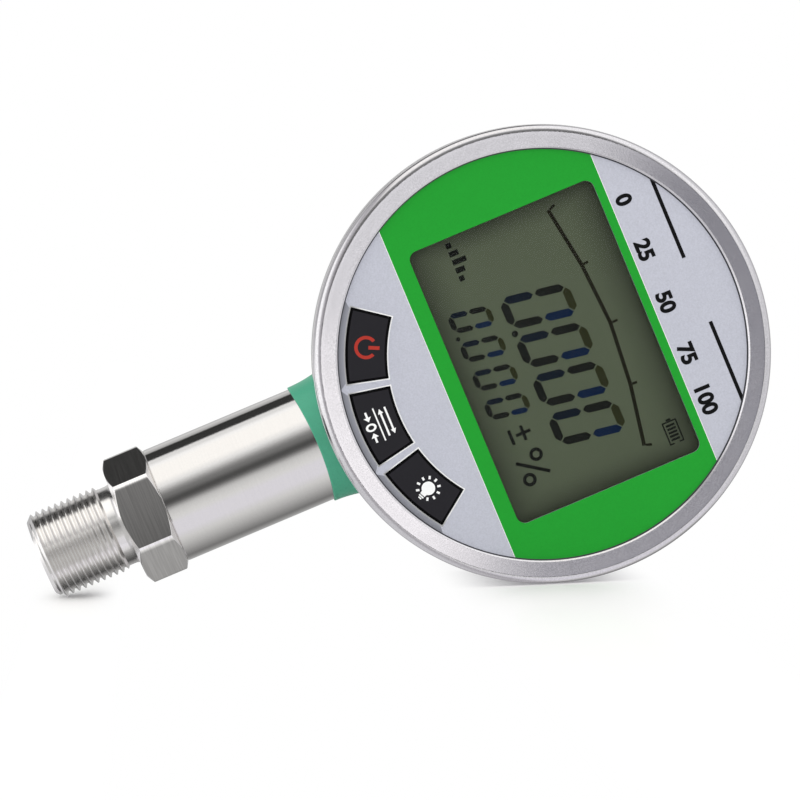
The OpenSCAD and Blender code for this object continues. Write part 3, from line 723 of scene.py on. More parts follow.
def softened(profile, steps):
    """A closed profile of (radius, height, rounding) with its corners rounded."""
    made = []
    count = len(profile)
    for i, (across, along, rounding) in enumerate(profile):
        corner = Vector((across, along))
        if rounding <= 0:
            made.append(corner)
            continue
        before = Vector(profile[i - 1][:2])
        after = Vector(profile[(i + 1) % count][:2])
        first = corner + (before - corner).normalized() * rounding
        last = corner + (after - corner).normalized() * rounding
        for k in range(steps + 1):
            t = k / steps
            made.append(first * (1 - t) ** 2 + corner * 2 * t * (1 - t) + last * t * t)
    return made


def plate(name, shapes, front, back):
    """A flat piece on the dial. Shapes are closed outlines of (x, z), where an inner one is a hole."""
    drawn = bpy.data.curves.new(name, "CURVE")
    drawn.dimensions = "2D"
    drawn.fill_mode = "BOTH"
    for shape in shapes:
        line = drawn.splines.new("POLY")
        line.points.add(len(shape) - 1)
        for point, (x, z) in zip(line.points, shape):
            point.co = (x, z, 0, 1)
        line.use_cyclic_u = True
    return flat_mesh(name, drawn, front, back)


def flat_mesh(name, drawn, front, back):
    """Turns a flat curve or text into a mesh that lies on the dial between two depths."""
    drawn.extrude = (back - front) / 2
    holder = link_object(name, drawn)
    bpy.context.view_layer.update()
    seen = holder.evaluated_get(bpy.context.evaluated_depsgraph_get())
    mesh = bpy.data.meshes.new_from_object(seen)
    bpy.data.objects.remove(holder)
    bpy.data.curves.remove(drawn)
    mesh.name = name
    middle = on_dial(0, 0, (front + back) / 2)
    mesh.transform(Matrix.Translation(middle) @ Matrix.Rotation(math.pi / 2, 4, "X"))
    mend(mesh, 1e-7)
    mesh.shade_flat()
    return mesh


def arc(radius, start, end, count, x=0.0, z=0.0):
    """Points along an arc, with angles in radians from the right of the dial."""
    turn = [start + (end - start) * k / (count - 1) for k in range(count)]
    return [(x + radius * math.cos(t), z + radius * math.sin(t)) for t in turn]


def circle(radius, x=0.0, z=0.0, count=48):
    return arc(radius, 0, 2 * math.pi * (count - 1) / count, count, x, z)


def rounded_block(width, height, corner, x, z):
    """The outline of a block with round corners."""
    made = []
    for sx, sz, start in ((1, 1, 0), (-1, 1, 90), (-1, -1, 180), (1, -1, 270)):
        middle_x = x + sx * (width / 2 - corner)
        middle_z = z + sz * (height / 2 - corner)
        first = math.radians(start)
        made += arc(corner, first, first + math.pi / 2, 8, middle_x, middle_z)
    return made


def key_outline(keys, grow, turn):
    """The outline of a key, grown on every side, turned round the dial from its foot."""
    foot = turn - math.pi / 2
    made = []
    for radius, sign in ((keys.outer + grow, 1), (keys.inner - grow, -1)):
        reach = sign * (keys.span / 2 + math.asin(grow / radius))
        made += arc(radius, foot - reach, foot + reach, 14)
    return made


def build_connection(sizes):
    """The turned connection: thread, runout, hexagon and the spigot in the tube."""
    # Columns of points: even along each flat, then one past its edge and one at the corner
    edge = math.degrees(math.acos(sizes.hex_flat / sizes.hex_corner))
    offsets = [-edge + 0.45 + (2 * edge - 0.9) * k / 24 for k in range(25)] + [edge + 0.35, 30]
    first_turn = sizes.hex_turn - math.pi / 2
    turns = [first_turn + math.radians(60 * side + offset) for side in range(6) for offset in offsets]
    rims = [min(sizes.hex_flat / math.cos(math.radians(a)), sizes.hex_corner) for a in offsets] * 6
    shell = Shell()

    def level(radius, height):
        return [round_stem(radius, t, height) for t in turns]

    # Thread, as rows that climb with the helix and are held between its two ends
    crest = sizes.thread_radius
    root = crest - sizes.thread_depth
    foot = crest - sizes.thread_bevel
    round_over = 0.07 * sizes.thread_depth
    shape = [
        (0.045, crest), (0.085, crest - round_over), (0.36, root + round_over), (0.41, root),
        (0.5, root), (0.59, root), (0.64, root + round_over), (0.915, crest - round_over),
        (0.955, crest),
    ]
    climbs = math.ceil(sizes.thread_top / sizes.thread_pitch) + 2
    made = []
    for part, radius in [(climb + part, radius) for climb in range(-1, climbs) for part, radius in shape]:
        row = []
        for t in turns:
            height = sizes.thread_pitch * (part + (t - turns[0]) / (2 * math.pi))
            height = min(max(height, 0.0), sizes.thread_top)
            to_top = sizes.thread_top - height
            lowest = sizes.runout_radius - 0.9 * to_top
            fitted = min(max(radius, lowest), foot + height, sizes.runout_radius + 1.4 * to_top)
            row.append(round_stem(foot if height <= 0 else fitted, t, height))
        made.append(shell.ring(row))
    for low, high in zip(made, made[1:]):
        for i in range(len(turns) - 1):
            shell.face((low[i], low[i + 1], high[i + 1], high[i]))
    # The seam joins each row's end to the start of the row one pitch higher
    for k in range(len(made) - 1):
        low = made[min(k + len(shape), len(made) - 1)]
        high = made[min(k + 1 + len(shape), len(made) - 1)]
        shell.face((made[k][-1], low[0], high[0], made[k + 1][-1]))

    # Hexagon, with the bevel cutting each flat in an arc
    slope = sizes.hex_bevel / (sizes.hex_corner - sizes.hex_flat)

    def hex_row(part, from_top):
        row = []
        for t, rim in zip(turns, rims):
            broken = min(sizes.hex_round, (rim - sizes.hex_flat) / 3)
            radius = {"end": sizes.hex_flat, "cone": rim - broken, "wall": rim}[part]
            along = (radius - sizes.hex_flat) * slope + (broken if part == "wall" else 0)
            height = sizes.hex_top - along if from_top else sizes.hex_foot + along
            row.append(round_stem(radius, t, height))
        return row

    fillet = 0.35 * MM
    spigot = sizes.tube_bore - 0.05 * MM
    spigot_top = sizes.hex_top + 10.8 * MM
    socket = 9.55 * MM
    socket_floor = 25 * MM
    mouth = 0.4 * MM
    below = [
        (sizes.runout_radius, sizes.thread_top), (sizes.runout_radius, sizes.hex_foot - 3 * fillet),
        (sizes.runout_radius + fillet / 3, sizes.hex_foot - 1.2 * fillet),
        (sizes.runout_radius + fillet, sizes.hex_foot),
    ]
    above = [
        (spigot, sizes.hex_top), (spigot, spigot_top), (socket, spigot_top), (socket, socket_floor),
        (sizes.port_radius, socket_floor), (sizes.port_radius, mouth), (sizes.port_radius + mouth, 0.0),
        (foot - 0.2 * MM, 0.0), (foot, 0.0),
    ]
    parts = ("end", "cone", "wall")
    hexagon = [hex_row(part, False) for part in parts] + [hex_row(part, True) for part in parts[::-1]]
    rings = [level(*place) for place in below] + hexagon + [level(*place) for place in above]
    flats = len(below) + 2
    shell.loft(rings, [int(number == flats) for number in range(len(rings))])
    add_piece(
        "connection", shell.mesh("connection", 24.0), ["turned_steel", "hex_steel"],
        replaced=["process_connection"],
    )


def build_tube(sizes):
    """The stem tube with its neck."""
    outer = sizes.tube_radius
    neck_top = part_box("stem_tube")[1].z
    shoulder = neck_top - sizes.neck_length
    step = shoulder - (outer - sizes.tube_bore)
    profile = [
        (sizes.tube_bore, sizes.hex_top, 0), (outer, sizes.hex_top, 0.28 * MM),
        (outer, shoulder, 0.4 * MM), (sizes.neck_radius, shoulder, 0),
        (sizes.neck_radius, neck_top, 0), (sizes.neck_bore, neck_top, 0),
        (sizes.neck_bore, step, 0), (sizes.tube_bore, step, 0),
    ]
    mesh = turned("stem_barrel", profile, round_stem)
    add_piece("stem_barrel", mesh, ["tube_steel"], replaced=["stem_tube"])


def build_boot(sizes, case):
    """The rubber boot, which flares from the stem to the case."""
    turns = even_turns(STEM_COLUMNS)
    foot = DIAL_Z - case.case_radius - sizes.boot_height
    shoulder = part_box("stem_tube")[1].z - sizes.neck_length + 0.02 * MM
    play = 0.05 * MM
    lip = 0.16 * MM
    hug = case.case_radius + play
    bore = sizes.tube_radius + play
    neck = sizes.neck_radius + play
    skirt = sizes.tube_radius + sizes.boot_wall
    widest = skirt + sizes.boot_flare
    bend = (skirt**2 / sizes.boot_saddle + sizes.boot_saddle) / 2

    def saddle(radius, t):
        """Height of the case over a point of the boot."""
        return DIAL_Z - math.sqrt(hug**2 - (radius * math.cos(t)) ** 2)

    def hem(radius, t):
        """Height of the foot, which rises towards the front and back."""
        return foot + bend - math.sqrt(bend**2 - (radius * math.sin(t)) ** 2)

    def flank(radius, t, share):
        """Height of the outside, a share of the way from the hem to the case."""
        low = hem(skirt, t) + lip
        return low + (saddle(radius, t) - low) * share

    rings = []
    for radius, lift in ((bore, 0), (skirt - lip, 0), (skirt - lip * 0.3, lip * 0.3), (skirt, lip)):
        rings.append([round_stem(radius, t, hem(radius, t) + lift) for t in turns])
    rows = 14
    for k in range(1, rows + 1):
        radius = skirt + sizes.boot_flare * (k / rows) ** 2
        rings.append([round_stem(radius, t, flank(radius, t, k / rows)) for t in turns])
    for share in (0.25, 0.5, 0.75, 1):
        radius = widest + (neck - widest) * share
        rings.append([round_stem(radius, t, saddle(radius, t)) for t in turns])
    rings += [[round_stem(radius, t, shoulder) for t in turns] for radius in (neck, bore)]
    shell = Shell()
    shell.loft(rings, closed=True)
    add_piece("boot", shell.mesh("boot", 40.0), ["boot_rubber"], replaced=["stem_boot"])


def build_bezel(sizes):
    """The bezel ring, with a soft front edge and a fine groove round its side."""
    side = sizes.bezel_radius
    front_side = side - 0.1 * MM
    inside = side - sizes.wall
    grip = sizes.case_radius + 0.1 * MM
    cut = front_side - sizes.groove_cut
    groove_end = sizes.groove_depth + sizes.groove_width
    profile = [
        (sizes.opening, 0, 0), (sizes.opening, 0.24 * MM - sizes.rise, 0.05 * MM),
        (sizes.opening + sizes.inner_bevel, -sizes.rise, 0.06 * MM),
        (side - sizes.front_round - 0.3 * MM, sizes.face_fall - sizes.rise, 0.5 * MM),
        (front_side, sizes.face_fall + 0.1 * MM - sizes.rise, sizes.front_round * 0.9),
        (front_side, sizes.groove_depth, 0.08 * MM), (cut, sizes.groove_depth + 0.1 * MM, 0.05 * MM),
        (cut, groove_end - 0.1 * MM, 0.05 * MM), (side, groove_end, 0.08 * MM),
        (side, sizes.rear_depth, 0.25 * MM), (grip, sizes.rear_depth, 0),
        (grip, sizes.rear_depth - 1 * MM, 0), (inside, sizes.rear_depth - 1 * MM, 0), (inside, 0, 0),
    ]
    mesh = turned("bezel", profile, round_dial, 288, 6, 34.0)
    add_piece("bezel", mesh, ["bezel_steel"], replaced=["bezel_ring"])


def band_outline(radius, low, high):
    """The part of a disc between two heights."""
    first = math.asin(low / radius)
    last = math.asin(high / radius)
    return arc(radius, first, last, 40) + arc(radius, math.pi - last, math.pi - first, 40)


def build_dial(dial, keys):
    """The printed overlay: its sheet, the green band, borders, rules and plain numbers."""
    turns = [keys.pitch * side for side in (-1, 0, 1)]
    holes = [key_outline(keys, keys.gap, turn) for turn in turns]
    window = rounded_block(
        dial.window_width, dial.window_height, dial.window_corner, dial.window_x, dial.window_up
    )
    sheet = [circle(dial.sheet_radius, count=DIAL_COLUMNS), window] + holes
    add_print("dial_sheet", sheet, "dial_print", 0.0, dial.sheet_thickness, replaced=["face_overlay"])
    proud = -dial.print_thickness
    sunk = 0.1 * MM
    band = [band_outline(dial.print_radius, dial.band_low, dial.band_high), window]
    add_print("dial_band", band, "band_print", proud, sunk)
    borders = (("dial_border_low", dial.band_low - dial.border), ("dial_border_high", dial.band_high))
    for name, low in borders:
        line = band_outline(dial.print_radius, low, low + dial.border)
        add_print(name, [line], "white_print", proud, sunk)
    # Painted shade: grey strips between the keys and the bezel, darker towards the bezel and a little wider
    # outwards
    shades = []
    strip_foot = keys.outer + keys.gap + keys.border + 0.05 * MM
    lean = math.radians(2.4)
    for turn in turns:
        first = turn - math.pi / 2 - keys.span / 2
        last = first + keys.span
        shades.append(
            arc(strip_foot, first, last, 20) + arc(dial.shade_radius, last + lean, first - lean, 20)
        )
    add_print("dial_shades", shades, "shade_print", proud, sunk)
    # Painted shadow of the bezel: a dark ring on the dial round the edge of the bezel's opening
    bezel_shadow_radii = (44.5 * MM, 44.9 * MM)
    seam = [circle(radius, count=DIAL_COLUMNS) for radius in bezel_shadow_radii]
    add_print("dial_seam", seam, "seam_print", 1.5 * proud, sunk)
    # The white border round each key, greyed outwards by a painted shade
    for name, turn, hole in zip(("power_border", "unit_border", "light_border"), turns, holes):
        border = [key_outline(keys, keys.gap + keys.border, turn), hole]
        add_print(name, border, "border_print", proud, sunk)
    low = dial.rule_height - dial.rule_width / 2
    high = dial.rule_height + dial.rule_width / 2
    far_low, far_high = (math.sqrt(dial.print_radius**2 - height**2) for height in (low, high))
    near = dial.rule_inner
    for name, sign in (("dial_rule_left", -1), ("dial_rule_right", 1)):
        rule = [(sign * far_low, low), (sign * far_high, high), (sign * near, high), (sign * near, low)]
        add_print(name, [rule], "black_print", proud, sunk)
    for number, x in ((0, -24.2), (25, -12.4), (50, -0.2), (75, 12.0), (100, 22.6)):
        name = "dial_number_%d" % number
        mesh = number_mesh(name, str(number), x * MM, dial.number_height, dial.number_size, proud, sunk)
        add_piece(name, mesh, ["black_print"], even=False)


def number_mesh(name, text, x, z, size, front, back):
    """A plain number that stands on the dial, centred on a point."""
    drawn = bpy.data.curves.new(name, "FONT")
    drawn.body = text
    drawn.size = size
    drawn.offset = size * 0.042
    drawn.align_x = "CENTER"
    drawn.align_y = "CENTER"
    mesh = flat_mesh(name, drawn, front, back)
    mesh.transform(Matrix.Translation((x, 0, z)))
    return mesh


def square_to(start, end, width):
    """The way from one point to another, and half a width square to it."""
    along = (Vector(end) - Vector(start)).normalized()
    return along, Vector((-along.y, along.x)) * width / 2


def stroke(start, end, width):
    """A segment of a figure, with pointed ends."""
    along, across = square_to(start, end, width)
    start = Vector(start)
    end = Vector(end)
    inset = along * (width / 2)
    points = (
        start, start + inset + across, end - inset + across, end, end - inset - across,
        start + inset - across,
    )
    return [tuple(point) for point in points]


def figure_strokes(width, height, thick, share):
    """The six strokes of a nought, by their usual letters, from its foot on the left."""
    gap = thick * share
    left = foot = thick / 2
    right = width - left
    top = height - foot
    middle = height / 2
    apart = thick * 0.1
    ends = {
        "a": ((left + gap, top), (right - gap, top)),
        "b": ((right, top - gap), (right, middle + apart)),
        "c": ((right, middle - apart), (right, foot + gap)),
        "d": ((left + gap, foot), (right - gap, foot)),
        "e": ((left, middle - apart), (left, foot + gap)),
        "f": ((left, top - gap), (left, middle + apart)),
    }
    return {letter: stroke(start, end, thick) for letter, (start, end) in ends.items()}


def bar(x0, z0, x1, z1, width):
    """A straight bar between two points."""
    start = Vector((x0, z0))
    end = Vector((x1, z1))
    _, across = square_to(start, end, width)
    return [tuple(point) for point in (start + across, end + across, end - across, start - across)]


def bent_strip(points, width):
    """A strip of even width along a bent line."""
    upper = []
    lower = []
    for i, point in enumerate(points):
        _, across = square_to(points[max(i - 1, 0)], points[min(i + 1, len(points) - 1)], width)
        upper.append(tuple(Vector(point) + across))
        lower.append(tuple(Vector(point) - across))
    return upper + lower[::-1]


def build_display(sizes):
    """The figures, the bar scale and the signs on the display."""
    inks = {ink: [] for ink in INKS}
    shades = {
        "a": "ink_olive", "b": "ink_blue", "c": "ink_dark", "d": "ink_dark",
        "e": "ink_navy", "f": "ink_dark",
    }
    for row in ("big", "small"):
        x, z, pitch, width, height, thick = (
            getattr(sizes, row + part) for part in ("_x", "_z", "_pitch", "_width", "_height", "_stroke")
        )
        for place in range(4):
            left = x + place * pitch
            for letter, shape in figure_strokes(width, height, thick, sizes.stroke_gap).items():
                leaning = [(left + px + pz * sizes.slant, z + pz) for px, pz in shape]
                inks[shades[letter]].append(leaning)
        dot_x = x + (pitch + width) / 2 + 0.2 * MM
        inks["ink_dark"].append(circle(thick * 0.41, dot_x, z + thick * 0.36, 20))
    # Bar scale: a bent line with a tick at each bend, each tick with its lean and height
    bends = ((-28.4, 13.25), (-14.6, 15.45), (-0.5, 16.4), (13.6, 15.28), (27.1, 12.95))
    ticks = ((-0.55, 1.25), (-0.1, 1.1), (0, 1.25), (0.05, 1.15), (0.4, 1.25))
    line = [(x * MM, z * MM) for x, z in bends]
    width = 0.84 * MM
    inks["ink_brown"].append(bent_strip(line, width))
    for (x, z), (lean, tall) in zip(line, ticks):
        base = z + width * 0.52
        inks["ink_brown"].append(bar(x, base, x + lean * MM, base + tall * MM, 0.55 * MM))
    inks["ink_dark"] += battery_sign(26.8 * MM, 19.9 * MM) + peak_sign(-29.6 * MM, -10.4 * MM)
    inks["ink_dark"] += share_sign(21.6 * MM, -11.3 * MM) + more_or_less_sign(14.2 * MM, -11.3 * MM)
    front = sizes.glass_depth - sizes.ink_thickness
    back = sizes.glass_depth + 0.05 * MM
    for ink, shapes in inks.items():
        add_print("display_" + ink, shapes, ink, front, back)


def battery_sign(x, z):
    """A battery sign: a frame that is open at its right, with bars in it and a knob at its left."""
    left, right = x - 2.6 * MM, x + 2.6 * MM
    low, high = z - 1.7 * MM, z + 1.7 * MM
    thin = 0.32 * MM
    reach = 1.1 * MM
    frame_line = [
        (right, high - reach), (right, high), (left, high), (left, low), (right, low), (right, low + reach),
        (right - thin, low + reach), (right - thin, low + thin), (left + thin, low + thin),
        (left + thin, high - thin), (right - thin, high - thin), (right - thin, high - reach),
    ]
    made = [frame_line, bar(left - 0.5 * MM, z, left - 0.04 * MM, z, 1.1 * MM)]
    for k in range(5):
        middle = left + (1.0 + k * 0.8) * MM
        made.append(bar(middle, z - 1.0 * MM, middle, z + 1.0 * MM, 0.48 * MM))
    return made


def peak_sign(x, z):
    """Five bars that rise to a peak: the highest value held."""
    made = []
    for k, tall in enumerate((1.2, 2.1, 3.2, 2.1, 1.2)):
        middle = x + k * 1.9 * MM
        made.append(bar(middle, z, middle, z + tall * MM, 1.2 * MM))
    return made


def share_sign(x, z):
    """A sign made of two small rings and a slanted bar."""
    made = [bar(x - 1.8 * MM, z - 3.2 * MM, x + 2.6 * MM, z + 3.2 * MM, 0.75 * MM)]
    for sx, sz in ((-2.0, 1.7), (2.6, -1.7)):
        made.append(circle(1.5 * MM, x + sx * MM, z + sz * MM, 24))
        made.append(circle(0.75 * MM, x + sx * MM, z + sz * MM, 24))
    return made


def more_or_less_sign(x, z):
    """A cross over a bar."""
    half = 1.7 * MM
    thin = 0.36 * MM
    up = z + 0.9 * MM
    cross = [
        (x - thin, up - half), (x + thin, up - half), (x + thin, up - thin), (x + half, up - thin),
        (x + half, up + thin), (x + thin, up + thin), (x + thin, up + half), (x - thin, up + half),
        (x - thin, up + thin), (x - half, up + thin), (x - half, up - thin), (x - thin, up - thin),
    ]
    return [cross, bar(x - half, z - 1.9 * MM, x + half, z - 1.9 * MM, 2 * thin)]


def turned_about(shapes, turn, radius):
    """Moves shapes drawn about zero out to a key, and turns them with it."""
    made = []
    for shape in shapes:
        points = []
        for x, z in shape:
            low = z - radius
            points.append(
                (x * math.cos(turn) - low * math.sin(turn), x * math.sin(turn) + low * math.cos(turn))
            )
        made.append(points)
    return made


def power_mark():
    """An open ring with a bar through its gap."""
    outer = 2.53 * MM
    inner = 1.8 * MM
    gap = math.radians(41)
    first = math.pi / 2 + gap
    last = math.pi / 2 - gap + 2 * math.pi
    ring = arc(outer, first, last, 40) + arc(inner, last, first, 40)
    return [ring, bar(0, 0.55 * MM, 0, 2.95 * MM, 0.78 * MM)]


def arrow(start, end, z, thick, head, spread):
    """An arrow along a row, as one outline."""
    neck = end - math.copysign(head, end - start)
    half = thick / 2
    return [
        (start, z - half), (neck, z - half), (neck, z - spread), (end, z), (neck, z + spread),
        (neck, z + half), (start, z + half),
    ]


def unit_mark():
    """Two arrows for changing over, a line, and a nought between arrows for setting to nought."""
    made = [bar(-3.75 * MM, 0, 3.75 * MM, 0, 0.32 * MM)]
    for sign in (-1, 1):
        z = (1.85 + 0.64 * sign) * MM
        made.append(arrow(-sign * 3.1 * MM, sign * 3.1 * MM, z, 0.42 * MM, 1.1 * MM, 0.6 * MM))
    low = -1.85 * MM
    for radius in (1.1, 0.6):
        made.append([(x * 0.8, low + z * 1.1) for x, z in circle(radius * MM, count=32)])
    for sign in (-1, 1):
        made.append(arrow(sign * 3.5 * MM, sign * 1.3 * MM, low, 0.46 * MM, 1.0 * MM, 0.85 * MM))
    return made


def light_mark():
    """A lamp bulb with rays."""
    radius = 1.48 * MM
    neck = math.radians(28)
    first = -math.pi / 2 + neck
    last = 1.5 * math.pi - neck
    globe = arc(radius, first, last, 40)
    made = [globe + [(-0.62 * MM, -1.95 * MM), (0.62 * MM, -1.95 * MM)]]
    made.append(bar(-0.6 * MM, -2.32 * MM, 0.6 * MM, -2.32 * MM, 0.32 * MM))
    made.append(bar(-0.38 * MM, -2.78 * MM, 0.38 * MM, -2.78 * MM, 0.3 * MM))
    for k in range(9):
        t = math.radians(-53 + k * 35.6)
        made.append(bar(
            1.98 * MM * math.cos(t), 1.98 * MM * math.sin(t),
            2.72 * MM * math.cos(t), 2.72 * MM * math.sin(t), 0.46 * MM,
        ))
    return made


def build_keys(keys):
    """The three push keys with their marks, each on its own body."""
    marks = (
        ("power_key", -1, power_mark(), (0.2, 0.15), "power_print"),
        ("unit_key", 0, unit_mark(), (0.1, 0.0), "white_print"),
        ("light_key", 1, light_mark(), (0.7, 0.5), "white_print"),
    )
    # Rings of the cap, from the back of its flange to its face
    flange_back = keys.lip_depth + keys.lip_thickness
    levels = (
        (keys.lip, flange_back), (keys.lip, keys.lip_depth),
        (0.0, keys.lip_depth), (0.0, keys.bevel - keys.proud),
        (-0.3 * keys.bevel, 0.3 * keys.bevel - keys.proud), (-keys.bevel, -keys.proud),
    )
    middle = (keys.inner + keys.outer) / 2
    for body, side, mark, (right, up), ink in marks:
        turn = keys.pitch * side
        shell = Shell()
        cap = [[on_dial(x, z, depth) for x, z in key_outline(keys, grow, turn)] for grow, depth in levels]
        # The cap's sides and bevel take the second finish, near-black: painted shade along the key's edges
        shell.solid(cap, [0, 0, 1, 1, 1])
        outline = circle(keys.stub_radius, middle * math.sin(turn), -middle * math.cos(turn), 40)
        shell.solid([[on_dial(x, z, depth) for x, z in outline] for depth in (flange_back, keys.stub_end)])
        name = body.replace("_key", "_button")
        add_piece(name, shell.mesh(name, 20.0), ["key_plastic", "key_edge"], body, [body])
        mark = [[(x + right * MM, z + up * MM) for x, z in shape] for shape in mark]
        shapes = turned_about(mark, turn, keys.mark_radius)
        name = body.replace("_key", "_mark")
        add_print(name, shapes, ink, -keys.proud - 0.02 * MM, -keys.proud + 0.08 * MM, body)


def dress_frame():
    """Gives every node that is still shown the finish of its slot."""
    for part in frame["record"]["subparts"]:
        node = frame["nodes"][part["node"]]
        for slot in node.material_slots:
            slot.material = finish_named(part["material_slot"])


def build_stage(stage):
    """The camera, the pale floor and the even studio light."""
    scene = bpy.context.scene
    camera = link_object("camera", bpy.data.cameras.new("camera"))
    place = Vector(stage.camera_place)
    look = (Vector(stage.camera_aim) - place).to_track_quat("-Z", "Y")
    camera.rotation_mode = "QUATERNION"
    camera.rotation_quaternion = look @ Quaternion((0, 0, 1), stage.camera_roll)
    camera.location = place
    camera.data.sensor_width = 36
    camera.data.lens = stage.camera_lens
    camera.data.clip_start = 0.01
    camera.data.clip_end = 20
    scene.camera = camera
    scene.view_settings.view_transform = "Standard"

    # Floor: it touches the bezel and the foot of the thread, and is seen from above only
    tilt = stage.floor_tilt
    up = Vector((-math.cos(tilt), 0, math.sin(tilt)))
    along = Vector((math.sin(tilt), 0, math.cos(tilt)))
    across = up.cross(along)
    middle = up * -stage.floor_gap + along * 0.06
    reach = stage.floor_size
    corners = [
        middle + along * reach * sx + across * reach * sy
        for sx, sy in ((-1, -1), (1, -1), (1, 1), (-1, 1))
    ]
    tint = tuple(scene.gauge_colours.floor)
    add_sheet("floor", corners, floor_finish(tint, along), ("glossy",))
    for name, start, end, tall, stops in (
        ("tube_card", (-6.9, -20), (4.5, -20), (29.8, 66.4), (
            (0, 0.22), (0.094, 0.175), (0.18, 0.15), (0.268, 0.1), (0.349, 0.07), (0.43, 0.075),
            (0.509, 0.118), (0.587, 0.23), (0.667, 0.4), (0.746, 0.53), (0.827, 0.587), (1, 0.66),
        )),
        ("hexagon_card", (-11, -20), (7, -20), (19.5, 29.8), ((0, 0.145), (1, 0.095))),
        ("neck_card", (-7.9, -20), (7.2, -20), (16.4, 19.5), (
            (0, 0.55), (0.22, 0.23), (0.41, 0.15), (0.59, 0.31), (0.79, 0.46), (1, 0.5),
        )),
        ("thread_card", (-7.9, -20), (17, -20), (-12, 16.4), (
            (0, 0.7), (0.133, 0.42), (0.249, 0.31), (0.36, 0.36), (0.478, 0.44), (0.606, 0.46), (1, 0.42),
        )),
        ("upper_card", (-25, -5.5), (-25, 9), (-14, 19.4), ((0, 0.02), (1, 0.02))),
        ("lower_card", (25, -13), (25, 8), (-14, 19.4), ((0, 0.36), (0.5, 0.12), (1, 0.02))),
    ):
        hang_card(name, start, end, tall, stops)
    light_studio(scene)


def floor_finish(tint, along):
    """A pale floor that is clear from below, and keeps the shadows where the gauge rests on it."""
    finish = Finish("floor")
    cloud = finish.noise(6.0, 2.0)
    across, _, up = finish.parts(finish.place())
    place = across * along.x + up * along.z
    shadows = [
        1 - finish.step(finish.math("ABSOLUTE", place - middle * MM), near * MM, far * MM)
        for middle, near, far in ((111, 4, 24), (7, 1.5, 10))
    ]
    kept = finish.math("MAXIMUM", *shadows)
    matt = finish.node("ShaderNodeBsdfDiffuse", {}, {"Color": (*tint, 1)})
    inputs = {"Color": (1, 1, 1, 1), "Roughness": 0.08 + cloud * 0.04}
    sheen = finish.node("ShaderNodeBsdfGlossy", {}, inputs)
    top = finish.blend(0.07, matt, sheen)
    plain = finish.node("ShaderNodeEmission", {}, {"Color": (*tint, 1), "Strength": 1.0})
    upper = finish.blend(finish.seen_by("Camera") * (1 - kept), top, plain)
    clear = finish.node("ShaderNodeBsdfTransparent")
    from_below = finish.node("ShaderNodeNewGeometry", output=6)
    return finish.surface(finish.blend(from_below, upper, clear))


def add_sheet(name, corners, material, unseen):
    """A flat piece of the stage with four corners, unseen by some kinds of ray."""
    mesh = bpy.data.meshes.new(name)
    mesh.from_pydata(corners, [], [(0, 1, 2, 3)])
    mesh.materials.append(material)
    sheet = link_object(name, mesh)
    for ray in unseen:
        setattr(sheet, "visible_" + ray, False)


def hang_card(name, start, end, tall, stops):
    """An upright card by the stem that only gloss shows. Its ramp runs from start to end, in millimetres."""
    finish = Finish(name)
    across, back, _ = finish.parts(finish.place())
    start = Vector(start) * MM
    end = Vector(end) * MM
    along = (end - start) / (end - start).length_squared
    share = (across - start.x) * along.x + (back - start.y) * along.y
    glow = finish.node("ShaderNodeEmission", {}, {"Color": finish.ramp(share, stops), "Strength": ROOM_GAIN})
    low, high = (edge * MM for edge in tall)
    corners = [(*start, low), (*end, low), (*end, high), (*start, high)]
    add_sheet(name, corners, finish.surface(glow), ("camera", "diffuse", "shadow", "transmission"))


